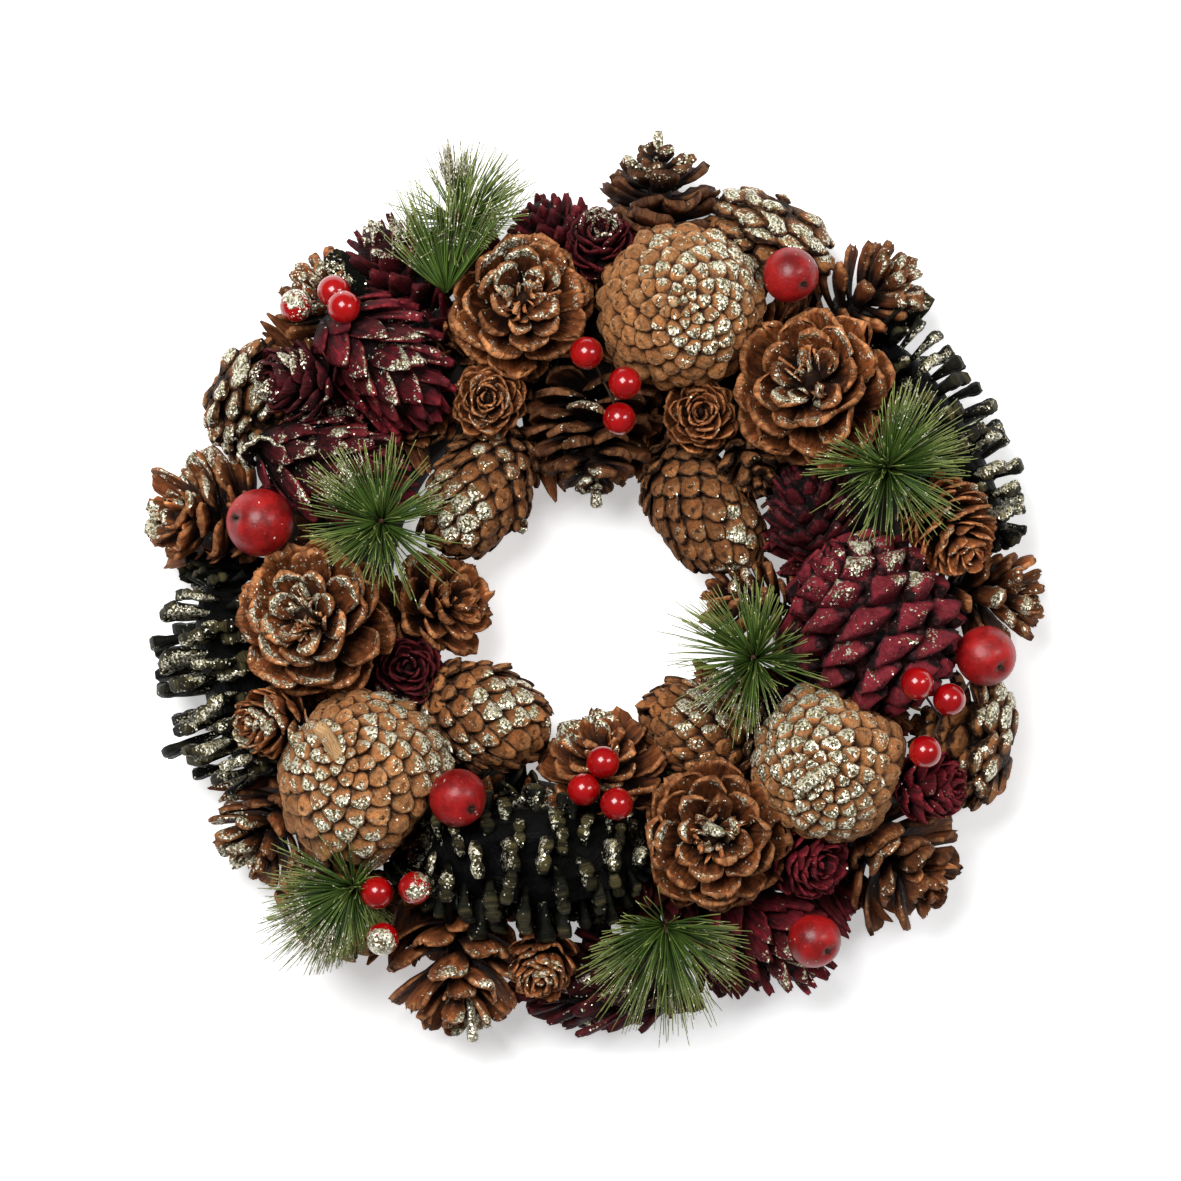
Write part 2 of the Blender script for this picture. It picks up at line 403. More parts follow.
# How the scales of each open kind lie, by their share of the way from tip to stalk. Radii are shares of
# the cone's, heights are shares of its length from its middle, and thickness is in millimetres.
Whorls = namedtuple("Whorls", "count share root_radius root_height end_radius end_height half_width thick")
WHORLS = {
    "open": Whorls(
        38,
        [0, 0.09, 0.24, 0.45, 0.70, 0.88, 1],
        [0.03, 0.07, 0.11, 0.15, 0.18, 0.15, 0.10],
        [0.24, 0.18, 0.10, -0.02, -0.18, -0.30, -0.38],
        [0.34, 0.46, 0.64, 0.84, 0.99, 1.00, 0.86],
        [0.44, 0.48, 0.46, 0.34, 0.12, -0.12, -0.34],
        [0.12, 0.17, 0.23, 0.29, 0.32, 0.31, 0.25],
        [2.8, 2.8, 2.5, 2.3, 2.1, 1.9, 1.6],
    ),
    "rim": Whorls(
        32,
        [0, 0.12, 0.30, 0.50, 0.70, 0.88, 1],
        [0.03, 0.07, 0.11, 0.14, 0.16, 0.15, 0.10],
        [0.30, 0.22, 0.10, -0.05, -0.20, -0.32, -0.38],
        [0.14, 0.42, 0.68, 0.90, 1.05, 1.02, 0.80],
        [0.50, 0.47, 0.37, 0.20, 0.00, -0.22, -0.42],
        [0.10, 0.15, 0.22, 0.27, 0.30, 0.28, 0.22],
        [2.5, 2.5, 2.4, 2.3, 2.2, 2.0, 1.7],
    ),
    "tiered": Whorls(
        46,
        [0, 0.10, 0.25, 0.45, 0.65, 0.85, 1],
        [0.02, 0.06, 0.10, 0.13, 0.15, 0.15, 0.10],
        [0.38, 0.30, 0.18, 0.02, -0.14, -0.28, -0.38],
        [0.10, 0.34, 0.58, 0.80, 0.98, 1.04, 0.92],
        [0.43, 0.40, 0.30, 0.13, -0.05, -0.24, -0.42],
        [0.08, 0.12, 0.18, 0.24, 0.28, 0.29, 0.24],
        [2.6, 2.9, 3.0, 2.9, 2.8, 2.5, 2.0],
    ),
    "ragged": Whorls(
        34,
        [0, 0.12, 0.30, 0.50, 0.70, 0.88, 1],
        [0.03, 0.07, 0.11, 0.14, 0.16, 0.15, 0.10],
        [0.26, 0.20, 0.10, -0.04, -0.18, -0.30, -0.38],
        [0.20, 0.50, 0.76, 0.96, 1.08, 1.02, 0.80],
        [0.52, 0.48, 0.40, 0.24, 0.02, -0.22, -0.42],
        [0.08, 0.11, 0.14, 0.17, 0.19, 0.18, 0.15],
        [2.7, 2.8, 2.7, 2.5, 2.4, 2.2, 1.8],
    ),
    "thin": Whorls(
        84,
        [0, 0.15, 0.4, 0.7, 1],
        [0.03, 0.12, 0.22, 0.24, 0.12],
        [0.30, 0.20, 0.00, -0.24, -0.42],
        [0.10, 0.46, 0.90, 1.04, 0.74],
        [0.50, 0.42, 0.22, -0.06, -0.36],
        [0.16, 0.24, 0.29, 0.29, 0.22],
        [0.8, 0.9, 1.0, 1.0, 0.8],
    ),
    "shingle": Whorls(
        52,
        [0, 0.15, 0.35, 0.6, 0.8, 1],
        [0.02, 0.10, 0.18, 0.22, 0.22, 0.14],
        [0.26, 0.14, -0.04, -0.24, -0.38, -0.46],
        [0.12, 0.46, 0.78, 1.00, 1.02, 0.74],
        [0.52, 0.46, 0.34, 0.14, -0.06, -0.32],
        [0.12, 0.18, 0.23, 0.26, 0.25, 0.20],
        [1.6, 2.2, 2.8, 3.0, 2.9, 2.2],
    ),
    "finger": Whorls(
        74,
        [0, 0.1, 0.25, 0.5, 0.75, 0.9, 1],
        [0.02, 0.10, 0.16, 0.20, 0.20, 0.16, 0.08],
        [0.44, 0.38, 0.25, 0.01, -0.23, -0.38, -0.46],
        [0.18, 0.58, 0.88, 1.00, 0.98, 0.80, 0.42],
        [0.50, 0.43, 0.28, 0.02, -0.23, -0.38, -0.48],
        [0.09, 0.15, 0.20, 0.225, 0.22, 0.19, 0.13],
        [2.8, 3.6, 4.5, 4.9, 4.8, 4.1, 3.0],
    ),
    "larch": Whorls(
        46,
        [0, 0.12, 0.3, 0.55, 0.8, 1],
        [0.03, 0.08, 0.12, 0.15, 0.16, 0.10],
        [0.24, 0.18, 0.06, -0.12, -0.28, -0.38],
        [0.14, 0.34, 0.58, 0.84, 1.02, 0.94],
        [0.46, 0.48, 0.43, 0.28, 0.02, -0.26],
        [0.12, 0.20, 0.28, 0.34, 0.36, 0.32],
        [0.8, 0.9, 1.0, 1.0, 1.0, 0.8],
    ),
    "cupped": Whorls(
        66,
        [0, 0.12, 0.3, 0.55, 0.8, 1],
        [0.05, 0.28, 0.46, 0.55, 0.48, 0.14],
        [0.38, 0.30, 0.12, -0.10, -0.30, -0.40],
        [0.16, 0.58, 0.88, 1.00, 0.90, 0.58],
        [0.50, 0.42, 0.26, 0.04, -0.20, -0.36],
        [0.13, 0.20, 0.26, 0.28, 0.27, 0.20],
        [2.0, 2.6, 3.2, 3.4, 3.2, 2.6],
    ),
}

# How the tiles of each closed kind lie: how many, how crowded towards the stalk, how far the free end
# lifts at the stalk and at the tip as a share of the radius, the swell and the thickness of a tile in
# millimetres, and how far it reaches behind and ahead of its place, in steps from tile to tile.
Tiles = namedtuple("Tiles", "count crowd lift_at_tip lift_at_stalk swell thick behind ahead")
TILES = {
    "closed": Tiles(154, 1.6, 0.18, 0.035, 0.60, 1.7, 0.85, 0.68),
    "half": Tiles(112, 1.15, 0.15, 0.18, 1.0, 2.1, 0.85, 0.68),
    "shield": Tiles(90, 1.0, 0.05, 0.05, 4.0, 2.2, 0.86, 0.90),
}
SHIELDS_IN_A_TIER = 6

# The materials of the kinds that are tiled. The others have their colour's scales.
TILED_LOOKS = {"closed": "tan_tiles", "half": "brown_tiles", "cupped": "brown_tiles", "shield": "burgundy_tiles"}

# A single scale's outline and section: where it is widest, its root's share of the width, how square its
# end is, how blunt, its curl along and cupping across, how deep a groove parts its end in two lobes, how
# thin its edge is, how much its swell is a sharp ridge, how much dust lies away from its rims, how
# jagged its end is, and the points round its section and along it.
Form = namedtuple("Form", "widest root square blunt curl cup groove edge ridge all_over jag loop rings")
FORMS = {
    "open": Form(0.76, 0.42, 2.3, 0.34, -0.20, 0.34, 0.0, 0.50, 0, 0.15, 0.10, 14, 11),
    "rim": Form(0.76, 0.50, 2.2, 0.30, -0.16, 0.36, 0.0, 0.50, 0, 0.15, 0.13, 14, 11),
    "tiered": Form(0.80, 0.50, 2.4, 0.40, -0.14, 0.30, 0.0, 0.55, 0, 0.2, 0.13, 14, 11),
    "ragged": Form(0.80, 0.62, 2.2, 0.35, -0.12, 0.34, 0.0, 0.55, 0, 0.2, 0.22, 12, 10),
    "thin": Form(0.80, 0.5, 2.6, 0.45, -0.10, 0.16, 0.0, 0.5, 0, 0.4, 0.12, 12, 8),
    "shingle": Form(0.56, 0.42, 1.3, 0.10, -0.10, 0.08, 0.0, 0.35, 0.6, 0.35, 0.10, 14, 11),
    "finger": Form(0.86, 0.60, 2.6, 0.60, -0.02, 0.04, 0.5, 0.50, 0, 0.75, 0.05, 14, 9),
    "larch": Form(0.70, 0.40, 2.1, 0.30, -0.22, 0.34, 0.0, 0.5, 0, 0.3, 0.10, 12, 8),
    "cupped": Form(0.70, 0.5, 1.8, 0.20, -0.05, 0.0, 0.0, 0.3, 0.4, 0.8, 0.08, 12, 9),
    "closed": Form(0.52, 0.22, 1.45, 0.16, -0.03, -0.04, 0.0, 0.25, 0.70, 0.85, 0.06, 12, 10),
    "half": Form(0.56, 0.26, 1.5, 0.18, -0.03, -0.04, 0.0, 0.30, 0.60, 0.85, 0.08, 12, 10),
    "shield": Form(0.50, 0.04, 1.05, 0.03, 0.0, 0.0, 0.0, 0.25, 1, 0.8, 0.02, 14, 13),
    "tucked": Form(0.56, 0.42, 1.3, 0.10, -0.10, 0.08, 0.0, 0.35, 0.6, 0.35, 0.10, 10, 8),
    "shard": Form(0.5, 0.5, 1.4, 0.30, -0.3, 0.3, 0.0, 0.5, 0, 0.4, 0.6, 8, 6),
}

# Where the keel of a closed scale lies along it, how far its pyramid reaches on either side and how fast it
# falls away to the scale's sides.
Keel = namedtuple("Keel", "top reach falls_aside")
USUAL_KEEL = Keel(0.70, 0.42, 0.9)
KEELS = {"shield": Keel(0.5, 0.5, 0.45)}

# How light a node's scales are, or those of its cone of one kind.
SHADES = {
    "inner_cone_top": 0.36, "rim_cone_top": 0.30, "open_cone_top_left": 0.95, "open_cone_bottom_right": 0.78,
    "inner_cone_right": 0.7, "rim_cone_lower_right": 0.58, "rim_cone_left": 0.82, "rim_cone_top_left": 0.8,
    "rim_cone_lower_left": 0.62, "rim_cone_top_right": 0.75, "rim_cone_right": 0.85,
    "burgundy_cone_left": 0.62, "burgundy_cone_top_left": 0.5, "burgundy_cone_top": 0.5,
    "burgundy_larch_inner_left": 0.5, "burgundy_cone_bottom": 0.36, "burgundy_cone_upper_left": 0.84,
    "burgundy_cone_lower_right": 0.85, "inner_half_cone_upper_left": 0.80,
    "inner_half_cone_upper_right": 0.76, "thin_scaled_cone_right": 1.3,
    ("burgundy_cone_upper_left", "larch"): 0.36, ("burgundy_cone_top", "larch"): 0.5,
    ("burgundy_cone_right", "shingle"): 0.6,
}

# How much wider than in the CAD model a cone's scales spread, or narrower.
SPREAD = {
    "rim_cone_left": 1.12, "rim_cone_lower_right": 1.20, "rim_cone_bottom": 1.16, "burgundy_cone_bottom": 1.14,
    "rim_cone_right": 1.06, "rim_cone_top": 1.14, "rim_cone_lower_left": 1.02, "inner_cone_top": 1.12,
    "inner_half_cone_upper_left": 0.89, "inner_half_cone_upper_right": 0.86, "inner_half_cone_lower_left": 0.87,
    "inner_half_cone_lower_right": 0.92, "dark_cone_left": 1.03, "dark_cone_right": 0.78,
    "burgundy_cone_lower_right": 1.14, "cupped_cone_right": 1.05, "rim_cone_top_left": 1.14,
}

# How far, in millimetres and in degrees, a cone's scales are moved and turned from where its CAD model has
# them.
SETTLED = {
    "dark_cone_right": (-4.0, -2.5, 4), "dark_cone_left": (0.0, 0.0, 9), "cupped_cone_top": (-2.5, -1.5, 0),
    "inner_cone_top": (0.5, -1.8, 0), "rim_cone_bottom": (-4.0, 0.0, 0), "rim_cone_lower_right": (1.5, 1.0, 0),
    "burgundy_cone_lower_right": (-6.0, 1.5, 0), "inner_half_cone_lower_right": (5.5, -3.5, 12),
    "rim_cone_lower_left": (3.5, 2.5, 0), "inner_half_cone_lower_left": (-1.5, -1.0, 0),
    "burgundy_cone_top": (0.0, -4.0, 0),
}

# The number of a cone's scale that is broken off short.
BROKEN_OFF = {"cupped_cone_top": 64}

# How many torn bits stand in the middle of each kind.
SHARDS = {"open": 26, "rim": 12, "ragged": 10}


def smoothstep(values, low, high):
    share = np.clip((values - low) / (high - low), 0, 1)
    return share * share * (3 - 2 * share)


def bell(values, middle, spread):
    """1 at the middle, falling to 0 on both sides of it."""
    return np.exp(-(((values - middle) / spread) ** 2))


def unit(ways):
    """The directions at a length of 1."""
    return ways / np.maximum(np.linalg.norm(ways, axis=-1, keepdims=True), SHORTEST)


def vectors(x, y, z):
    """The vectors with these parts, of which some may be the same along an axis."""
    return np.stack(np.broadcast_arrays(x, y, z), -1)


def out_from_z(angles):
    """The directions at these angles round +Z."""
    return vectors(np.cos(angles), np.sin(angles), 0)


def round_z(angles):
    """The directions that run round +Z at these angles."""
    return vectors(-np.sin(angles), np.cos(angles), 0)


def whole_turn(steps):
    return np.linspace(0, 2 * np.pi, steps, endpoint=False)


def to_mm(pixel_x, pixel_y):
    """The place on the wreath of a pixel of the photograph."""
    return (pixel_x - CENTRE_IN_PHOTO[0]) * PHOTO_PIXEL, (CENTRE_IN_PHOTO[1] - pixel_y) * PHOTO_PIXEL


def direction(aim):
    azimuth, elevation = map(math.radians, aim)
    flat = math.cos(elevation)
    return Vector((flat * math.cos(azimuth), flat * math.sin(azimuth), math.sin(elevation)))


def turn_to(way):
    """The rotation, as a 3 by 3 array, that turns +Z to a direction."""
    return np.array(Vector(way).to_track_quat("Z", "Y").to_matrix())


def cone_pose(cone):
    """The rotation and the place that put points round +Z where a cone lies."""
    return turn_to(direction(cone.aim)), np.array(cone.place, float)


# How the CAD model shares out space, repeated so that the scales bend clear of their neighbours.


class Blob:
    """A piece's claim on space: a line with a radius it never gives up, one it claims and one it reaches."""

    def __init__(self, row, line, core, claim, reach):
        self.row, self.line = row, [Vector(end) for end in line]
        self.core, self.claim, self.reach = core, claim, reach
        self.cell = []


def nearest_on(line, point):
    share = intersect_point_line(point, *line)[1]
    return line[0].lerp(line[1], min(max(share, 0), 1))


def nearest_pair(first, second):
    pairs = [(nearest_on(first, end), end) for end in second]
    pairs += [(end, nearest_on(second, end)) for end in first]
    crossing = intersect_line_line(*first, *second)
    if crossing:
        pairs.append((nearest_on(first, crossing[0]), nearest_on(second, crossing[1])))
    return min(pairs, key=lambda pair: (pair[1] - pair[0]).length)


def dividing_plane(blob, other):
    here, there = nearest_pair(blob.line, other.line)
    normal = (there - here).normalized()
    spare = (there - here).length - blob.core - other.core
    wanted, others = blob.claim - blob.core, other.claim - other.core
    if spare > wanted + others:
        longer = blob.reach - blob.claim + SMALLEST
        both = longer + other.reach - other.claim + SMALLEST
        share = wanted + (spare - wanted - others) * longer / both
    else:
        weight = (wanted + GAP) * 2 ** ((here.z - there.z) / HEIGHT_FOR_TWICE_THE_ROOM)
        share = spare * weight / (weight + others + GAP)
        share = min(max(share, spare - others), wanted)
    return normal, normal.dot(here) + blob.core + share - GAP / 2


def ring_plane(blob):
    ways = []
    for step in range(LINE_STEPS + 1):
        point = blob.line[0].lerp(blob.line[1], step / LINE_STEPS)
        outward = Vector((point.x, point.y, 0)).normalized()
        ways.append((point, outward * RING_MIDDLE_RADIUS + Vector((0, 0, RING_BACK_DEPTH)), outward))
    point, middle, outward = min(ways, key=lambda way: (way[0] - way[1]).length)
    away = (point - middle).normalized()
    across = away.dot(outward)
    support = math.hypot(RING_HALF_WIDTH * across, RING_HALF_DEPTH * away.z)
    bend = max(-across, 0) * blob.claim**2 / (2 * RING_INNER_RADIUS)
    return -away, -away.dot(middle) - support - bend - GAP


def share_out_space(blobs):
    for blob in blobs:
        planes = [ring_plane(blob)]
        for other in blobs:
            if other is not blob:
                here, there = nearest_pair(blob.line, other.line)
                if (there - here).length < blob.reach + other.reach:
                    planes.append(dividing_plane(blob, other))
        blob.cell = [(np.array(normal), offset) for normal, offset in planes]


def cone_blob(cone):
    share = CORE_SHARE[cone.kind]
    radius = cone.width / 2
    half = direction(cone.aim) * max(cone.length / 2 - share * radius, SMALLEST)
    middle = Vector(cone.place)
    core = min(share, LARGEST_CORE) * radius
    return Blob(cone, (middle - half, middle + half), core, radius, radius + SCALE_SLACK)


def ball_blob(row, place, radius, reach):
    middle = Vector(place)
    return Blob(row, (middle, middle + Vector((0, 0, SMALLEST))), radius, radius, reach)


def all_blobs():
    found = [cone_blob(cone) for cone in CONES]
    found += [ball_blob(berry, berry.place, berry.radius, berry.radius) for berry in LARGE_BERRIES]
    found += [ball_blob(spray, spray.place, SPRAY_CORE_RADIUS, NEEDLE_LENGTH) for spray in SPRAYS]
    for pick in BERRY_PICKS:
        found += [ball_blob(pick, place, SMALL_BERRY_RADIUS, SMALL_BERRY_RADIUS) for place in pick.berries]
    share_out_space(found)
    return found


def bent_clear(points, cell, slack, soft, rounds=3):
    """The points moved off each plane that they pass by more than the slack, softly."""
    shape = points.shape
    points = points.reshape(-1, 3).copy()
    for _ in range(rounds):
        for normal, offset in cell:
            past = np.maximum(points @ normal - offset - slack, 0)
            points -= np.outer(past - soft * (1 - np.exp(-past / soft)), normal)
    points[:, 2] = np.maximum(points[:, 2], TABLE_CLEARANCE)
    return points.reshape(shape)


def pushed_out(points, blobs):
    """The points moved out of the inner part of any cone or berry that they are in."""
    shape, points = points.shape, points.reshape(-1, 3).copy()
    for blob in blobs:
        start, end = (np.array(point) for point in blob.line)
        share = np.clip((points - start) @ (end - start) / ((end - start) @ (end - start)), 0, 1)
        away = points - start - share[:, None] * (end - start)
        apart = np.maximum(np.linalg.norm(away, axis=1, keepdims=True), SMALLEST)
        points += away / apart * np.maximum(INNER_PART * blob.claim - apart, 0)
    points[:, 2] = np.maximum(points[:, 2], TABLE_CLEARANCE)
    return points.reshape(shape)


# Meshes.


class Heap:
    """Gathers closed meshes into one, with the three vectors that the materials read at each point.

    They are the spot on the piece (across, along and which face), the grain (millimetres across and along,
    and the piece's own place in the streaks) and the mood (luck, glitter and how light it is).
    """

    def __init__(self):
        self.points, self.faces, self.count = [], [], 0
        self.read = {"spot": [], "grain": [], "mood": []}

    def add(self, points, faces, *read):
        self.points.append(points.reshape(-1, 3))
        self.faces += [face + self.count for face in faces]
        for kept, values in zip(self.read.values(), read):
            kept.append(np.broadcast_to(values, points.shape).reshape(-1, 3))
        self.count += len(self.points[-1])

    def finish(self, name, node, slot, material, replaces=True):
        """Makes the object of what was gathered, in metres, riding on the wreath's one body."""
        points = (np.concatenate(self.points) + RING_CENTRE) * MM
        mesh = bpy.data.meshes.new(name)
        mesh.vertices.add(len(points))
        mesh.vertices.foreach_set("co", points.astype(np.float32).ravel())
        loops = np.concatenate([face.ravel() for face in self.faces]).astype(np.int32)
        sizes = np.concatenate([np.full(len(face), face.shape[1]) for face in self.faces])
        mesh.loops.add(len(loops))
        mesh.loops.foreach_set("vertex_index", loops)
        mesh.polygons.add(len(sizes))
        starts = np.concatenate([[0], np.cumsum(sizes)[:-1]]).astype(np.int32)
        mesh.polygons.foreach_set("loop_start", starts)
        mesh.polygons.foreach_set("use_smooth", np.ones(len(sizes), bool))
        mesh.update(calc_edges=True)
        for key, values in self.read.items():
            attribute = mesh.attributes.new(key, "FLOAT_VECTOR", "POINT")
            attribute.data.foreach_set("vector", np.concatenate(values).astype(np.float32).ravel())
        mesh.materials.append(material)
        obj = bpy.data.objects.new(name, mesh)
        bpy.context.scene.collection.objects.link(obj)
        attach(obj, "root")
        if replaces:
            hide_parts(node)


def tube_faces(count, rings, loop):
    """The faces of closed tubes whose points are numbered by tube, ring and place round the section."""
    tube = np.arange(count)[:, None, None] * rings * loop
    ring = np.arange(rings - 1)[None, :, None] * loop
    place = np.arange(loop)[None, None, :]
    near = tube + ring + place
    beside = tube + ring + (place + 1) % loop
    sides = np.stack([near, near + loop, beside + loop, beside], -1).reshape(-1, 4)
    first = tube[:, 0] + np.arange(loop)
    return [sides, first, first[:, ::-1] + (rings - 1) * loop]


def dust_at(points, facing_up):
    """How much glitter lies at each point: that of the strongest dusting, on what faces the viewer."""
    flat = points.reshape(-1, 3)
    most = np.full(len(flat), STRAY_DUST)
    for pixel_x, pixel_y, pixel_radius, strength in DUSTED:
        x, y = to_mm(pixel_x, pixel_y)
        away = np.hypot(flat[:, 0] - x, flat[:, 1] - y) / (pixel_radius * PHOTO_PIXEL)
        most = np.maximum(most, strength * (1 - smoothstep(away, *DUSTING_FADES)))
    return most.reshape(points.shape[:-1]) * smoothstep(facing_up, -DUST_TILT, DUST_TILT)


def section(form):
    """Places across and which side they are on, once round a scale's section."""
    half = form.loop // 2
    across = np.linspace(-1, 1, half)
    across = np.sign(across) * np.abs(across) ** 0.85
    return np.concatenate([across, across[::-1]]), np.concatenate([np.ones(half), -np.ones(half)])


def outline(form, along):
    """A scale's width along it, as a share of its widest."""
    rise = form.root + (1 - form.root) * np.sin(np.pi / 2 * np.minimum(along / form.widest, 1))
    past = np.clip((along - form.widest) / (1 - form.widest), 0, 1)
    fall = (1 - past**form.square) ** (1 / form.square)
    return rise * (form.blunt + (1 - form.blunt) * fall)


def plate(form, along, across, face, thick):
    """The height of a flat scale's two faces: thin at the edges, and with a lip near its end."""
    edge = form.edge + (1 - form.edge) * (1 - np.abs(across) ** 2.6)
    edge *= 1 - form.groove * bell(across, 0, 0.3)
    lip = (0.30 + 0.5 * form.groove) * bell(along, 0.90, 0.09)
    depth = thick[:, None] * (0.50 + 0.35 * smoothstep(along, 0.15, 0.8) + lip)
    return face * depth[..., None] / 2 * edge


def swelling(form, along, across, keel):
    """How the outer face bulges: a dome with a soft keel, or a sharp pyramid as a form's ridge has it."""
    crown = np.sin(np.pi * along**1.1) ** 0.8
    dome = crown[:, None] * (1 - across**2) * 0.75
    dome = dome + bell(along, 0.62, 0.10)[:, None] * bell(across, 0, 0.28) * 0.35
    falling = 1 - np.abs(across) * keel.falls_aside - np.abs(along - keel.top)[:, None] / keel.reach
    pyramid = np.clip(falling, 0, 1) * 1.3
    return dome * (1 - form.ridge) + pyramid * form.ridge


def scales(
    heap, form, starts, middles, ends, sides, half_width, thick, swell, rng, cell, shade=1.0, keel=USUAL_KEEL
):
    """Adds closed scales along curves from their roots to their free ends."""
    count = len(starts)
    each, rings = (count, 1, 1), (count, form.rings, 2)
    along = 1 - (1 - np.linspace(0, 1, form.rings)) ** 1.35
    u = along[None, :, None]
    line = (1 - u) ** 2 * starts[:, None] + 2 * u * (1 - u) * middles[:, None] + u**2 * ends[:, None]
    way = unit(2 * (1 - u) * (middles - starts)[:, None] + 2 * u * (ends - middles)[:, None])
    side = unit(sides[:, None] - way * np.sum(way * sides[:, None], -1, keepdims=True))
    up = np.cross(way, side)
    twist = rng.normal(0, SCALE_SPREAD["twist"], each) * u
    side, up = side * np.cos(twist) + up * np.sin(twist), up * np.cos(twist) - side * np.sin(twist)

    across, face = section(form)
    width = (half_width[:, None] * outline(form, along))[..., None]
    sway = rng.normal(0, SCALE_SPREAD["sway"], rings) * smoothstep(along, 0.3, 0.9)[:, None]
    ragged = rng.normal(0, 1, (2, count, form.loop // 2))
    jag, ripple = np.concatenate([ragged, ragged[..., ::-1]], -1)[:, :, None]
    cup = form.cup * (1 + rng.normal(0, SCALE_SPREAD["cup"], each))
    height = plate(form, along, across, face, thick) + cup * across**2 * width
    height = height + ripple * width * RIPPLE * np.sin(np.pi * along)[:, None]
    height = height - (face < 0) * swell[:, None, None] * swelling(form, along, across, keel)
    warp = rng.normal(0, SCALE_SPREAD["warp"], each) * u * across * width * 0.5
    skewed = across * (1 + rng.normal(0, SCALE_SPREAD["skew"], each) * np.sign(across))
    skewed = skewed * (1 + np.where(across > 0, sway[..., :1], sway[..., 1:]))
    points = line[:, :, None] + side[:, :, None] * (width * skewed)[..., None]
    points = points + up[:, :, None] * (height + warp)[..., None]
    further = jag * form.jag * half_width[:, None, None] * smoothstep(along, 0.55, 1)[:, None]
    points = points + way[:, :, None] * further[..., None]
    slack = OPEN_POINT_SLACK if form is FORMS["open"] else POINT_SLACK
    points = bent_clear(points, cell, slack, 1.6, rounds=2)

    luck, along = rng.random(count)[:, None, None], along[:, None]
    length = np.linalg.norm(ends - starts, axis=1)[:, None, None]
    at_end, at_side = smoothstep(along, 0.70, 0.94), smoothstep(np.abs(across), 0.70, 0.95)
    rimmed = np.maximum(at_end, at_side * smoothstep(along, 0.45, 0.75))
    dust = dust_at(points, up[:, :, None, 2] * face)
    dust = dust * (form.all_over + (1 - form.all_over) * rimmed) * (0.75 + 0.6 * luck)
    grain = vectors(across * width, along * length, luck * GRAIN_SPREAD)
    faces, spot = tube_faces(count, form.rings, form.loop), vectors(across, along, face)
    heap.add(points, faces, spot, grain, vectors(luck, dust, shade))


def open_cone_scales(heap, cone, cell, rng, shade):
    """The scales of a cone that has opened, from its kind's table."""
    rows, form = WHORLS[cone.kind], FORMS[cone.kind]
    count, radius, length = rows.count, cone.width / 2, cone.length
    matrix, place = cone_pose(cone)
    share = (np.arange(count) + 0.5) / count

    def read(column):
        return np.interp(share, rows.share, column)

    def astray(name):
        return rng.normal(0, OPEN_SPREAD[name], count)

    around = np.arange(count) * GOLDEN + astray("turn") + rng.random() * 6
    out, sides = out_from_z(around), round_z(around)
    starts = out * (read(rows.root_radius) * radius)[:, None] + UP * (read(rows.root_height) * length)[:, None]
    lift = astray("lift")
    ends = out * (read(rows.end_radius) * radius * (1 + astray("reach")))[:, None]
    ends += UP * ((read(rows.end_height) + lift) * length)[:, None]
    ends += sides * astray("aside")[:, None] * radius
    starts, ends, sides = starts @ matrix.T + place, ends @ matrix.T + place, sides @ matrix.T
    wanted = np.linalg.norm(ends - starts, axis=1)
    ends = bent_clear(ends, cell, OPEN_END_SLACK if cone.kind == "open" else END_SLACK, 2.2)
    if cone.node in BROKEN_OFF:
        broken = BROKEN_OFF[cone.node]
        ends[broken] = starts[broken] + LEFT_OF_BROKEN * (ends[broken] - starts[broken])
    got = np.linalg.norm(ends - starts, axis=1)
    up = np.cross(ends - starts, sides)
    middles = (starts + ends) / 2 + up * (form.curl * (1 + astray("curl")))[:, None]
    half_width = read(rows.half_width) * radius * (1 + astray("width")) * np.minimum(got / wanted, 1) ** 0.4
    thick = read(rows.thick) * (1 + astray("thick"))
    swell = np.full(count, CUPPED_SWELL if cone.kind == "cupped" else OPEN_SWELL)
    scales(heap, form, starts, middles, ends, sides, half_width, thick, swell, rng, cell, shade)


def shards(heap, cone, cell, rng, count):
    """Torn scale bits that stand in the hollow middle of an opened cone."""
    matrix, place = cone_pose(cone)
    out = out_from_z(rng.random(count) * 2 * np.pi)
    starts = out * rng.uniform(0.02, 0.16, (count, 1)) * cone.width / 2 + UP * cone.length * 0.12
    ends = out * rng.uniform(0.12, 0.42, (count, 1)) * cone.width / 2
    ends = ends + UP * cone.length * rng.uniform(0.32, 0.47, (count, 1)) + rng.normal(0, 1.2, (count, 3))
    sides = unit(np.cross(ends - starts, rng.normal(0, 1, (count, 3))))
    starts, ends, sides = starts @ matrix.T + place, ends @ matrix.T + place, sides @ matrix.T
    middles = (starts + ends) / 2 + rng.normal(0, 1.2, (count, 3))
    half_width, thick = rng.uniform(1.4, 3.4, count), rng.uniform(0.7, 1.5, count)
    form = FORMS["shard"]
    scales(heap, form, starts, middles, ends, sides, half_width, thick, 0 * thick, rng, cell, SHARD_SHADE)


def tiers_of_shields(count, radius):
    """Where wide scales in tiers lie: the share, the angle from the tip, the turn, the spacing and a step."""
    tiers = count // SHIELDS_IN_A_TIER
    tier = np.arange(count) // SHIELDS_IN_A_TIER
    share = (tier + 0.5) / tiers
    angle = np.pi * share
    around = (np.arange(count) + 0.57 * tier) * 2 * np.pi / SHIELDS_IN_A_TIER
    spacing = 2 * np.pi * radius * np.sin(angle) / SHIELDS_IN_A_TIER * 0.70
    return share, angle, around, spacing, np.full(count, np.pi / tiers)


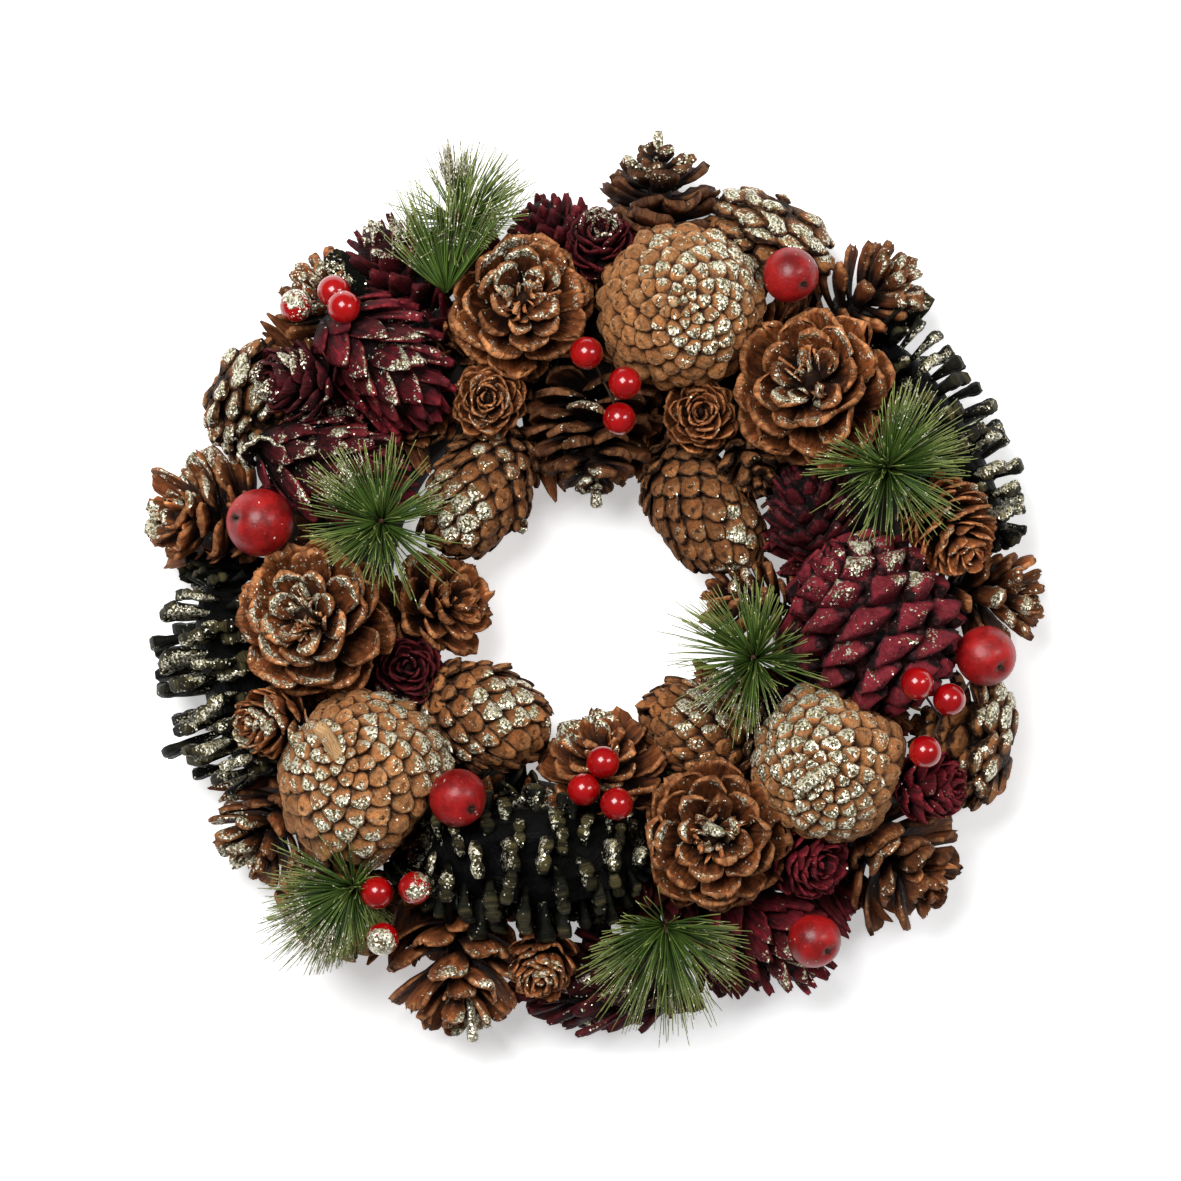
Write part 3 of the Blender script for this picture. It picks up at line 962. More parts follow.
def spiral_of_tiles(rows, radius, half, rng):
    """The same for tiles that wind up a cone by the golden angle, crowded towards its stalk."""
    share = (np.arange(rows.count) + 0.5) / rows.count
    level = 1 - (1 - share) ** rows.crowd
    crowding = np.maximum(rows.crowd * (1 - share) ** (rows.crowd - 1), 0.22)
    spacing = np.sqrt(4 * np.pi * radius * half * crowding / rows.count)
    around = np.arange(rows.count) * GOLDEN + rng.random() * 6
    return share, np.arccos(1 - 2 * level), around, spacing, spacing / ((radius + half) / 2)


def closed_cone_scales(heap, cone, cell, rng, shade):
    """The tiles of a cone that is still closed, over a body of its own shape."""
    rows, form, count = TILES[cone.kind], FORMS[cone.kind], TILES[cone.kind].count
    radius, half = cone.width / 2 - rows.swell - 1.0, cone.length / 2 - 1.0
    matrix, place = cone_pose(cone)
    if cone.kind == "shield":
        share, angle, around, spacing, step = tiers_of_shields(count, radius)
    else:
        share, angle, around, spacing, step = spiral_of_tiles(rows, radius, half, rng)

    def at(angles, out):
        """Where the cone's body, grown by a factor, has these angles from its tip."""
        angles = np.clip(angles, 0.02, np.pi - 0.02)
        flat = np.sin(angles) ** 0.92 * radius * out
        points = vectors(flat * np.cos(around), flat * np.sin(around), np.cos(angles) * half * out)
        return points @ matrix.T + place

    def astray(name):
        return rng.normal(0, TILE_SPREAD[name], count)

    lift = rows.lift_at_tip + (rows.lift_at_stalk - rows.lift_at_tip) * smoothstep(share, 0.1, 0.75)
    starts = at(angle + rows.behind * step, TILE_ROOT)
    ends = at(angle - rows.ahead * step, 1 + lift * (1 + astray("lift")))
    middles = at(angle - 0.05 * step, 1 + lift * 0.6)
    ends, middles = bent_clear(ends, cell, END_SLACK, 1.5), bent_clear(middles, cell, END_SLACK, 1.5)
    half_width = spacing * TILE_HALF_WIDTH * (1 + astray("width"))
    thick = np.full(count, rows.thick)
    swell = rows.swell * spacing / spacing.mean() * (1 + astray("swell"))
    sides, keel = round_z(around) @ matrix.T, KEELS.get(cone.kind, USUAL_KEEL)
    scales(heap, form, starts, middles, ends, sides, half_width, thick, swell, rng, cell, shade, keel)


def cone_core(heap, cone, cell, rng):
    """The dark body that the scales grow from, turned about the cone's line."""
    matrix, place = cone_pose(cone)
    width, half_length = CORE_LOOKS.get(cone.kind, USUAL_CORE_LOOK)
    width = WIDE_CORES.get(cone.node, width)
    rings, loop = 12, 16
    angles = np.linspace(0.02, np.pi - 0.02, rings)
    around = -whole_turn(loop)
    radius = (np.sin(angles) ** 0.9 * cone.width / 2 * width)[:, None] * np.ones(loop)
    radius = radius * (1 + rng.normal(0, 0.03, radius.shape))
    heights = (-np.cos(angles) * cone.length * half_length)[:, None]
    local = vectors(radius * np.cos(around), radius * np.sin(around), heights)
    points = bent_clear(local @ matrix.T + place, cell, 0.5, 1.0, rounds=2)
    along = np.linspace(0, 1, rings)[:, None]
    spot, grain = vectors(np.sin(around), along, -1), vectors(around * radius, along * 20, 0)
    heap.add(points, tube_faces(1, rings, loop), spot, grain, CORE_MOOD)


def tube(line, way, side, thick, turns):
    """The points round lines, at some turns, that stay clear of the table."""
    line, side, up = (part[..., None, :] for part in (line, side, np.cross(way, side)))
    points = line + side * (thick * np.cos(turns))[..., None]
    points = points + up * (thick * np.sin(turns))[..., None]
    points[..., 2] = np.maximum(points[..., 2], TABLE_CLEARANCE)
    return points


def rod(heap, points, radius, loop, mood, rng, rough=0.0):
    """Adds a closed tube along points."""
    points = np.array(points, float)
    way = unit(np.gradient(points, axis=0))
    side = unit(np.cross(way, SLANTED))
    around = -whole_turn(loop)
    thick = np.broadcast_to(np.asarray(radius, float), (len(points),))[:, None] * np.ones(loop)
    thick = thick * (1 + rng.normal(0, rough, thick.shape))
    made = tube(points, way, side, thick, around)
    along = np.linspace(0, 1, len(points))[:, None]
    length = np.linalg.norm(np.diff(points, axis=0), axis=1).sum()
    spot, grain = vectors(np.sin(around), along, 1), vectors(around * thick, along * length, 0)
    heap.add(made, tube_faces(1, len(points), loop), spot, grain, mood)


def curve_between(start, end, sag, steps):
    """Points from start to end on a curve that bows by sag."""
    u = np.linspace(0, 1, steps)[:, None]
    start, end, sag = (np.array(value, float) for value in (start, end, sag))
    return start + (end - start) * u + sag * 4 * u * (1 - u)


# Materials.


class Nodes:
    """Short ways to add shader nodes to a material."""

    def __init__(self, name):
        self.material = bpy.data.materials.new(name)
        self.material.use_nodes = True
        self.tree = self.material.node_tree
        self.shader = self.tree.nodes["Principled BSDF"].inputs
        self.place = self.add("ShaderNodeTexCoord", output="Object")

    def put(self, socket, value):
        if isinstance(value, bpy.types.NodeSocket):
            self.tree.links.new(value, socket)
        elif socket.type == "RGBA":
            socket.default_value = (*value, 1)
        else:
            socket.default_value = value

    def add(self, kind, inputs=(), output=0, **settings):
        """One output of a new node with these settings, and with values or links in its inputs."""
        made = self.tree.nodes.new(kind)
        for key, value in settings.items():
            setattr(made, key, value)
        for key, value in dict(inputs).items():
            self.put(made.inputs[key], value)
        return made.outputs[output]

    def math(self, operation, *values):
        return self.add("ShaderNodeMath", enumerate(values), operation=operation)

    def plus(self, first, second):
        return self.math("ADD", first, second)

    def times(self, first, *others):
        for other in others:
            first = self.math("MULTIPLY", first, other)
        return first

    def most(self, first, second):
        return self.math("MAXIMUM", first, second)

    def vector(self, operation, *values):
        return self.add("ShaderNodeVectorMath", enumerate(values), operation=operation)

    def scaled(self, vector, factor):
        return self.add("ShaderNodeVectorMath", {0: vector, "Scale": factor}, operation="SCALE")

    def mix(self, share, first, second):
        return self.add("ShaderNodeMix", {0: share, 6: first, 7: second}, 2, data_type="RGBA")

    def blend(self, share, first, second):
        return self.add("ShaderNodeMix", {0: share, 2: first, 3: second})

    def ramp(self, *values):
        """Where a value lies between a low and a high one, smoothly, from 0 to 1 or between two others."""
        return self.add("ShaderNodeMapRange", enumerate(values), interpolation_type="SMOOTHSTEP")

    def noise(self, vector, scale, detail=3.0, roughness=0.55):
        inputs = {"Vector": vector, "Scale": scale, "Detail": detail, "Roughness": roughness}
        return self.add("ShaderNodeTexNoise", inputs)

    def streaks(self, grain, x, y, detail, roughness=0.55):
        """Noise that is drawn out along the grain."""
        return self.noise(self.vector("MULTIPLY", grain, (x, y, 1.0)), 1.0, detail, roughness)

    def read(self, name):
        """A mesh attribute's three numbers and the whole vector."""
        whole = self.add("ShaderNodeAttribute", output="Vector", attribute_name=name)
        parts = self.tree.nodes.new("ShaderNodeSeparateXYZ")
        self.put(parts.inputs[0], whole)
        return (*parts.outputs, whole)

    def bump(self, height, strength, distance_mm):
        inputs = {"Strength": strength, "Distance": distance_mm * MM, "Height": height}
        return self.add("ShaderNodeBump", inputs)

    def finish(self, colour, roughness, **others):
        """The material, with numbers or links in its shader's sockets."""
        others = {key.replace("_", " "): value for key, value in others.items()}
        for key, value in {"Base Color": colour, "Roughness": roughness, **others}.items():
            self.put(self.shader[key], value)
        return self.material

    def glittered(self, dust, colour, roughness, normal, **others):
        """The same surface with champagne flakes stuck on it, each its own bright or dark way round."""
        flakes = self.add("ShaderNodeTexVoronoi", {"Vector": self.place, "Scale": FLAKES_IN_A_METRE}, "Color")
        chances = self.add("ShaderNodeSeparateColor", {0: flakes}).node.outputs
        patchy = self.noise(self.place, 210, 3.0)
        amount = self.math("MULTIPLY_ADD", patchy, 1.0, self.math("SUBTRACT", dust, 0.5))
        amount = self.plus(self.ramp(amount, 0.22, 0.58, 0.0, 0.88), self.times(dust, 0.10))
        there = self.math("LESS_THAN", chances[0], amount)
        flake = self.mix(self.ramp(chances[1], 0.25, 0.95), (0.17, 0.14, 0.06), (0.95, 0.92, 0.74))
        tilt = self.scaled(self.vector("SUBTRACT", flakes, (0.5, 0.5, 0.5)), 1.1)
        surface = self.add("ShaderNodeNewGeometry", output="Normal")
        tilted = self.vector("NORMALIZE", self.vector("ADD", surface, tilt))
        facing = self.add("ShaderNodeMix", {0: there, 4: normal, 5: tilted}, 1, data_type="VECTOR")
        return self.finish(
            self.mix(there, colour, flake), self.blend(there, roughness, 0.3), Normal=facing,
            Metallic=self.times(there, 0.4), **{"Specular_IOR_Level": 0.3, **others},
        )


def cone_material(name, root, middle, edge, rough=0.66, streak=0.24, dusty=None, rimmed=1.0, gloss=0.2):
    """Dry scales: dark at the root, streaked along, paler at the rim, with glitter where dusted."""
    make = Nodes(name)
    across, along, _, _ = make.read("spot")
    _, _, _, grain = make.read("grain")
    luck, dust, shade, _ = make.read("mood")
    fibres = make.streaks(grain, 1.15, 0.10, 5.0, 0.62)
    bands = make.streaks(grain, 0.45, 0.06, 3.0)
    mottle = make.streaks(grain, 0.35, 0.25, 5.0, 0.65)
    fine = make.noise(make.place, 2200, 2.0)
    how_far = make.plus(along, make.ramp(bands, 0.25, 0.75, -0.16, 0.16))
    colour = make.mix(make.ramp(how_far, 0.30, 1.0), root, middle)
    side = make.times(make.ramp(make.math("ABSOLUTE", across), 0.84, 1.0), make.ramp(along, 0.35, 0.7))
    rim = make.most(make.ramp(along, 0.92, 0.99), make.times(side, rimmed))
    colour = make.mix(make.times(rim, make.ramp(mottle, 0.36, 0.62, 0.15, 1.0)), colour, edge)
    tone = make.times(
        make.ramp(fibres, 0.36, 0.64, 1 - streak, 1 + streak), shade, make.ramp(bands, 0.34, 0.66, 0.82, 1.18),
        make.ramp(mottle, 0.36, 0.66, 0.70, 1.34), make.ramp(luck, 0.0, 1.0, 0.78, 1.24),
    )
    colour = make.scaled(colour, tone)
    if dusty:
        pale = make.ramp(make.streaks(grain, 0.5, 0.16, 5.0, 0.7), 0.5, 0.8, 0.0, 0.5)
        colour = make.mix(pale, colour, dusty)
    height = make.plus(make.plus(make.times(fibres, 0.8), make.times(fine, 0.3)), make.times(mottle, 0.6))
    roughness = make.ramp(mottle, 0.3, 0.7, rough - 0.14, rough + 0.12)
    return make.glittered(dust, colour, roughness, make.bump(height, 1.0, 1.3), Specular_IOR_Level=gloss)


def tile_material(name, root, middle, edge, dusty, umbo=0.70, hidden=0.46):
    """Closed scales: dark in the grooves, paler past the keel, with a small dark umbo on it."""
    make = Nodes(name)
    across, along, _, _ = make.read("spot")
    _, _, _, grain = make.read("grain")
    luck, dust, shade, _ = make.read("mood")
    fibres = make.streaks(grain, 0.9, 0.6, 5.0, 0.68)
    mottle = make.noise(make.place, 170, 5.0, 0.65)
    fine = make.noise(make.place, 1200, 3.0)
    wander = make.ramp(fibres, 0.3, 0.7, -0.06, 0.06)
    down = make.math("ABSOLUTE", make.plus(make.math("SUBTRACT", along, umbo), wander))
    sideways = make.plus(make.math("ABSOLUTE", across), wander)

    def patch(down_from, down_to, side_from, side_to, left=0.0):
        """1 near the umbo, falling away along the scale and to its sides."""
        near = make.ramp(down, down_from, down_to, 1.0, 0.0)
        return make.times(near, make.ramp(sideways, side_from, side_to, 1.0, left))

    keel, eye = patch(0.0, 0.07, 0.3, 0.8, 0.2), patch(0.025, 0.07, 0.14, 0.30)
    border = patch(0.06, 0.14, 0.26, 0.46)
    groove = make.most(make.ramp(sideways, 0.76, 0.94), make.ramp(along, 0.93, 0.985))
    groove = make.most(groove, make.ramp(along, hidden, hidden * 0.5))
    colour = make.mix(make.ramp(along, umbo - 0.08, umbo + 0.10), middle, edge)
    colour = make.mix(make.times(border, 0.6), colour, edge)
    colour = make.mix(make.times(eye, make.ramp(luck, 0.0, 1.0, 0.3, 0.95)), colour, root)
    colour = make.mix(groove, colour, root)
    tone = make.times(
        make.ramp(fibres, 0.36, 0.64, 0.76, 1.28), shade, make.ramp(mottle, 0.36, 0.64, 0.80, 1.22),
        make.ramp(luck, 0.0, 1.0, 0.84, 1.18),
    )
    colour = make.scaled(colour, tone)
    pale = make.ramp(make.noise(make.place, 320, 5.0, 0.7), 0.48, 0.70, 0.0, 0.5)
    colour = make.mix(pale, colour, dusty)
    height = make.plus(make.plus(make.times(fibres, 0.9), make.times(fine, 0.35)), make.times(keel, 0.35))
    height = make.math("SUBTRACT", height, make.times(eye, 0.6))
    crown = make.times(make.ramp(sideways, 0.60, 0.92, 1.0, 0.2), make.ramp(along, hidden * 0.8, umbo * 0.9))
    bare = make.times(crown, make.ramp(luck, 0.0, 0.5, 0.8, 1.15))
    roughness = make.ramp(mottle, 0.3, 0.7, 0.66, 0.88)
    return make.glittered(
        make.times(dust, bare), colour, roughness, make.bump(height, 1.0, 1.1), Specular_IOR_Level=0.2
    )


def needle_material():
    """Needles: each its own green, yellower towards its tip."""
    make = Nodes("needles")
    _, along, _, _ = make.read("spot")
    luck, dust, shade, _ = make.read("mood")
    colour = make.mix(luck, (0.026, 0.062, 0.009), (0.108, 0.176, 0.030))
    colour = make.mix(make.ramp(along, 0.55, 1.0), colour, (0.23, 0.27, 0.07))
    normal = make.bump(make.noise(make.place, 1500, 2.0), 0.2, 0.1)
    return make.glittered(make.times(dust, make.ramp(along, 0.15, 0.7)), make.scaled(colour, shade), 0.42, normal)


def gloss_berry_material():
    """Small berries: bright red under a clear coat."""
    make = Nodes("gloss_berries")
    _, dust, _, _ = make.read("mood")
    patch = make.noise(make.place, 130, 3.0)
    colour = make.mix(make.ramp(patch, 0.3, 0.7), (0.24, 0.001, 0.002), (0.37, 0.002, 0.003))
    normal = make.bump(patch, 0.05, 0.3)
    return make.glittered(dust, colour, 0.22, normal, Coat_Weight=0.6, Coat_Roughness=0.03)


def waxy_berry_material():
    """Large berries: dull red with pale and dark specks, and a brown spot at the calyx."""
    make = Nodes("waxy_berries")
    _, dust, _, _ = make.read("mood")
    patch = make.noise(make.place, 95, 5.0, 0.65)
    speck = make.noise(make.place, 620, 3.0)
    colour = make.mix(make.ramp(patch, 0.30, 0.70), (0.13, 0.0025, 0.003), (0.38, 0.007, 0.007))
    colour = make.mix(make.ramp(speck, 0.62, 0.75, 0.0, 0.5), colour, (0.42, 0.055, 0.042))
    colour = make.mix(make.ramp(speck, 0.34, 0.26, 0.0, 0.7), colour, (0.07, 0.004, 0.004))
    from_pole, _, _, _ = make.read("spot")
    from_pole = make.plus(from_pole, make.ramp(speck, 0.3, 0.7, -0.05, 0.05))
    colour = make.mix(make.ramp(from_pole, 0.36, 0.20, 0.0, 0.55), colour, (0.10, 0.012, 0.010))
    colour = make.mix(make.ramp(from_pole, 0.17, 0.12), colour, (0.020, 0.010, 0.006))
    normal = make.bump(make.plus(patch, make.times(speck, 0.3)), 0.6, 1.0)
    roughness = make.ramp(patch, 0.2, 0.8, 0.36, 0.56)
    return make.glittered(dust, colour, roughness, normal, Coat_Weight=0.18, Coat_Roughness=0.22)


def fibre_material(name, dark, light):
    """Straw, twine, wire and cut wood: fibres that run along the piece."""
    make = Nodes(name)
    _, _, _, grain = make.read("grain")
    luck, dust, shade, _ = make.read("mood")
    fibres = make.streaks(grain, 2.2, 0.12, 4.0, 0.6)
    colour = make.mix(make.ramp(fibres, 0.25, 0.75), dark, light)
    colour = make.scaled(colour, make.times(shade, make.ramp(luck, 0.0, 1.0, 0.6, 1.25)))
    return make.glittered(dust, colour, 0.75, make.bump(fibres, 0.7, 0.5))


def floor_material():
    """A pale floor that shines a little, so that it stays near white under soft light."""
    make = Nodes("pale_floor")
    cloud = make.ramp(make.noise(make.place, 1.3, 2.0), 0.3, 0.7)
    colour = make.mix(cloud, (0.93, 0.93, 0.93), (0.95, 0.95, 0.95))
    return make.finish(colour, 0.9, Emission_Color=(1, 1, 1), Emission_Strength=0.42)


# Pieces.


def build_cones(blobs, materials):
    heaps = {}
    for index, blob in enumerate(blobs):
        cone = blob.row
        if not isinstance(cone, Cone):
            continue
        rng = np.random.default_rng(CONE_SEED + index)
        heap, _ = heaps.setdefault(cone.node, (Heap(), cone.kind))
        x, y, turn = SETTLED.get(cone.node, (0, 0, 0))
        place, aim = tuple(np.add(cone.place, (x, y, 0))), (cone.aim[0] + turn, cone.aim[1])
        cone = cone._replace(width=cone.width * SPREAD.get(cone.node, 1), place=place, aim=aim)
        shade = SHADES.get((cone.node, cone.kind), SHADES.get(cone.node, 1.0))
        cone_core(heap, cone, blob.cell, rng)
        if cone.kind in TILES:
            closed_cone_scales(heap, cone, blob.cell, rng, shade)
        else:
            open_cone_scales(heap, cone, blob.cell, rng, shade)
            if cone.kind in SHARDS:
                shards(heap, cone, blob.cell, rng, SHARDS[cone.kind])
    build_details({node: heap for node, (heap, _) in heaps.items()})
    for node, (heap, kind) in heaps.items():
        colour = COLOURS.get(node.split("_")[0], "brown")
        heap.finish(node + "_scales", node, colour, materials[TILED_LOOKS.get(kind, colour)])


def build_details(heaps):
    """The rods and stubs at some cones' tips, a few broad scales and one that has curled up."""
    rng = np.random.default_rng(DETAIL_SEED)
    for line, radii in TIP_RODS:
        rod(heaps["rim_cone_top"], line, radii, 9, (0.5, 0.45, 0.6), rng, rough=0.10)
    heap = heaps["rim_cone_bottom"]
    rod(heap, GLITTER_STICK, GLITTER_STICK_RADII, 10, (0.5, 0.72, 0.8), rng, rough=0.08)
    thick, swell = np.array([1.8]), np.array([0.0])
    for node, start, end, half_width in PETALS:
        start, end, half_width = np.array([start], float), np.array([end], float), np.array([half_width])
        sides = unit(np.cross(end - start, [0, 0.3, 1.0]))
        middle = (start + end) / 2 + [0, 0, 2.0]
        heap, form = heaps[node], FORMS["rim"]
        scales(heap, form, start, middle, end, sides, half_width, thick, swell, rng, [], PETAL_SHADE)
    for node, line, radii, shade in GLITTERED:
        rod(heaps[node], line, radii, 10, (0.9, 0.95, shade), rng, rough=0.12)
    curled_scale(heaps["burgundy_cone_left"], CURLED_AT, CURLED_RADIUS)


def curled_scale(heap, middle, radius):
    """A broad scale curled into a hood that opens to the viewer: a wall bent round most of a circle."""
    depth, wall, steps = 13.0, 0.75, 32
    turn = np.linspace(-0.22, 1.20, steps)[:, None] * np.pi
    up = np.array([0, 0.35, 0.7, 0.93, 1.0, 0.93, 0.7, 0.35, 0, 0])
    out = np.array([1, 1, 1, 0.9, 0, -0.9, -1, -1, -1, 0])
    across = np.linspace(-1, 1, steps)[:, None]
    end = smoothstep(np.abs(across), 0.6, 1.0)
    wavy = 1 + 0.06 * np.sin(turn * 5) + 0.04 * np.sin(turn * 11 + 1)
    away = (radius * wavy * (1 - 0.15 * end)) * (0.50 + 0.50 * np.sqrt(up)) + wall * out
    drop = (up - 1) * depth - 4.0 * end + 0.7 * np.sin(turn * 7) * up
    points = vectors(away * np.cos(turn), 0.95 * away * np.sin(turn), drop) + np.array(middle)
    mood = vectors(0.5, np.where(up > 0.9, 0.85, 0.15), np.where(out > -0.5, 0.75, 0.22))
    spot, grain = vectors(across, up, out), vectors(turn * away, up * depth, 0)
    heap.add(points, tube_faces(1, steps, len(up)), spot, grain, mood)


def tuck(heap, form, tip, solid, rng):
    """Adds three loose scales that reach from the ring's nearest side to about a tip."""
    count = 3
    outward = np.array([tip[0], tip[1], 0]) / math.hypot(tip[0], tip[1])
    middle = outward * RING_MIDDLE_RADIUS + [0, 0, RING_BACK_DEPTH]
    away = tip - middle
    reach = 1 / math.hypot((away @ outward) / RING_HALF_WIDTH, away[2] / RING_HALF_DEPTH)
    root = middle + away * min(reach, 1) * 0.86
    across = np.cross(outward, UP)
    starts = root + rng.normal(0, 1.5, (count, 3)) + across * rng.normal(0, 2.5, (count, 1))
    ends = tip + rng.normal(0, 2.2, (count, 3)) + across * rng.normal(0, 4.0, (count, 1))
    middles = (starts + ends) / 2 + rng.normal(0, 2.0, (count, 3))
    ends, middles = pushed_out(ends, solid), pushed_out(middles, solid)
    turn = rng.random(count)[:, None] * np.pi
    sides = across * np.cos(turn) + outward * np.sin(turn)
    thick = rng.uniform(1.2, 1.9, count)
    half_width, swell = rng.uniform(3.5, 5.0, count), 0 * thick
    scales(heap, form, starts, middles, ends, sides, half_width, thick, swell, rng, [], TUCKED_SHADE)


def build_tucked_scales(blobs, materials):
    """Loose scales rooted in the ring, which fill the dark gaps between the cones."""
    rng = np.random.default_rng(TUCKED_SEED)
    heaps = {}
    solid = [blob for blob in blobs if not isinstance(blob.row, Spray)]
    for colour, *tips in TUCKED:
        form = FORMS["finger" if colour == "black_green" else "tucked"]
        for pixel_x, pixel_y, height in tips:
            tip = np.array([*to_mm(pixel_x, pixel_y), height])
            tuck(heaps.setdefault(colour, Heap()), form, tip, solid, rng)
    for colour, heap in heaps.items():
        heap.finish("tucked_scales_" + colour, "base_ring", colour, materials[colour], replaces=False)


def needles(heap, hub, ways, lengths, cell, rng, bowed, dusty=0.34):
    """Adds three-sided needles that start near a hub and bend clear of the neighbours."""
    count, steps, loop = len(ways), 6, 3
    starts = hub + ways * rng.uniform(0.3, 2.5, (count, 1))
    ends = hub + ways * lengths[:, None] + rng.normal(0, 1.2, (count, 3)) - [0, 0, 1.5]
    ends = bent_clear(ends, cell, 3.0, 6.0)
    u = np.linspace(0, 1, steps)[None, :, None]
    bow = rng.normal(0, bowed, (count, 1, 3)) * u * (1 - u) * 2
    line = starts[:, None] * (1 - u) + ends[:, None] * u + bow
    way = unit(np.gradient(line, axis=1))
    side = unit(np.cross(way, rng.normal(0, 1, (count, 1, 3))))
    thick = NEEDLE_RADIUS * (1 - 0.55 * u[..., 0] ** 2)[..., None]
    turns = -np.arange(loop) * 2 * np.pi / loop
    points = tube(line, way, side, thick, turns)
    luck = rng.random(count)[:, None, None]
    dust = np.clip(dust_at(points, 1) * dusty + 0.14, 0, 1) * (0.5 + luck)
    spot, grain = vectors(0, u, 1), vectors(0, u * NEEDLE_LENGTH, luck * GRAIN_SPREAD)
    heap.add(points, tube_faces(count, steps, loop), spot, grain, vectors(luck, dust, 1))


def fan_of_needles(heap, fan, cell, rng):
    """Adds needles spread low over a range of angles, as long as the fan's table has them there."""
    angles = np.radians(rng.uniform(*fan.spread, fan.count))
    ways = unit(vectors(np.cos(angles), np.sin(angles), rng.uniform(*fan.rise, fan.count)))
    lengths = np.interp(np.degrees(angles), fan.at, fan.lengths) * rng.uniform(0.75, 1.05, fan.count)
    needles(heap, np.array(fan.foot), ways, lengths, cell, rng, bowed=1.6, dusty=fan.dusty)


def build_sprays(blobs, materials):
    for index, blob in enumerate(blobs):
        spray = blob.row
        if not isinstance(spray, Spray):
            continue
        rng = np.random.default_rng(SPRAY_SEED + index)
        heap, stub = Heap(), Heap()
        aim, hub = direction(spray.aim), np.array(spray.place, float)
        bunches = NEEDLES // NEEDLES_IN_A_BUNCH
        level = 1 - rng.random(bunches) ** 0.8 * 1.12
        around = rng.random(bunches) * 2 * np.pi
        flat = np.sqrt(np.maximum(1 - level**2, 0))
        ways = vectors(flat * np.cos(around), flat * np.sin(around), level) @ turn_to(aim).T
        ways = np.repeat(ways, NEEDLES_IN_A_BUNCH, axis=0) + rng.normal(0, 0.11, (NEEDLES, 3))
        sideways = np.array([*SPRAY_LEAN.get(spray.node, (aim.x, aim.y)), 0])
        ways = ways + sideways * 0.55
        lean = ways @ sideways
        ways = unit(ways)
        lengths = NEEDLE_LENGTH * rng.uniform(0.80, 1.14, NEEDLES) * (1 + 0.26 * np.clip(lean, 0, 1))
        if spray.node == THINNED:
            kept = ~((ways[:, 0] < 0) & (ways[:, 1] > 0.2) & (rng.random(NEEDLES) < THINNED_BY))
            ways, lengths = ways[kept], lengths[kept] * THINNED_LENGTH
        needles(heap, hub, ways, lengths, blob.cell, rng, bowed=1.4)
        if spray.node == THINNED:
            ways = unit(np.array(BUNDLE_WAY) + rng.normal(0, BUNDLE_SPREAD, (BUNDLE, 3)))
            lengths = NEEDLE_LENGTH * rng.uniform(0.70, 1.02, BUNDLE)
            needles(heap, hub, ways, lengths, blob.cell, rng, bowed=0.5, dusty=0.75)
        if spray.node in FANS:
            fan_of_needles(heap, FANS[spray.node], blob.cell, rng)
        heap.finish(spray.node + "_needles", spray.node, "needle_green", materials["needles"])
        top = hub + np.array(aim) * 5
        line = [hub - np.array(aim) * 3, hub, top, top + [0.4, 0.3, 1.6]]
        rod(stub, line, [1.0, 1.2, 1.0, 0.5], 8, (0.7, 0, 1), rng, rough=0.1)
        stub.finish(spray.node + "_stub", spray.node, "brown", materials["wire"])


def berry(heap, middle, radius, pole, rng, dents, dust):
    """A ball with a slight dimple at its pole and, on a soft berry, dents."""
    rings, loop = 18, 28
    angles = np.linspace(0.03, np.pi - 0.03, rings)[:, None]
    around = -whole_turn(loop)
    ball = vectors(np.sin(angles) * np.cos(around), np.sin(angles) * np.sin(around), -np.cos(angles))
    out = np.full(ball.shape[:2], radius)
    from_pole = np.pi - angles
    out -= radius * 0.13 * bell(from_pole, 0, 0.24)
    for _ in range(dents):
        way = rng.normal(0, 1, 3)
        way /= np.linalg.norm(way)
        near = np.arccos(np.clip(ball @ way, -1, 1))
        out -= radius * rng.uniform(0.015, 0.05) * bell(near, 0, rng.uniform(0.25, 0.6))
    points = (ball * out[..., None]) @ turn_to(pole).T + np.array(middle, float)
    facing = (points[..., 2] - middle[2]) / radius
    spot, mood = vectors(from_pole, facing, facing), vectors(rng.random(), dust_at(points, facing) * dust, 1)
    heap.add(points, tube_faces(1, rings, loop), spot, points, mood)


def build_berries(materials):
    rng = np.random.default_rng(BERRY_SEED)
    for row in LARGE_BERRIES:
        fruit, crumbs = Heap(), Heap()
        pole = CALYX_WAYS.get(row.node, USUAL_CALYX_WAY)
        berry(fruit, row.place, row.radius, pole, rng, dents=9, dust=0.25)
        fruit.finish(row.node + "_fruit", row.node, "matte_red", materials["waxy"])
        way = np.array(Vector(pole).normalized())
        tip = np.array(row.place) + way * row.radius * 0.90
        for _ in range(9):
            out = way * 0.8 + rng.normal(0, 0.5, 3)
            rod(crumbs, [tip - way * 0.9, tip + out * 0.5, tip + out], [0.35, 0.32, 0.10], 5, (0.3, 0, 0.5), rng)
        crumbs.finish(row.node + "_calyx", row.node, "brown", materials["wire"], replaces=False)
    for pick in BERRY_PICKS:
        fruit, wires = Heap(), Heap()
        for index, place in enumerate(pick.berries):
            dust = 1.0 if index in CAPPED.get(pick.node, ()) else 0.12
            pole = np.array(pick.hub) - np.array(place, float)
            berry(fruit, place, SMALL_BERRY_RADIUS, pole, rng, dents=0, dust=dust)
        fruit.finish(pick.node + "_berries", pick.node, "gloss_red", materials["gloss"])
        ends = pick.berries + [row.place for row in LARGE_BERRIES if row.node == pick.node]
        for place in ends:
            line = curve_between(pick.hub, place, rng.normal(0, 1.2, 3), 8)
            rod(wires, line, WIRE_RADIUS, 7, (0.4, 0, 0.6), rng, rough=0.08)
        wires.finish(pick.node + "_wires", pick.node, "brown", materials["wire"])


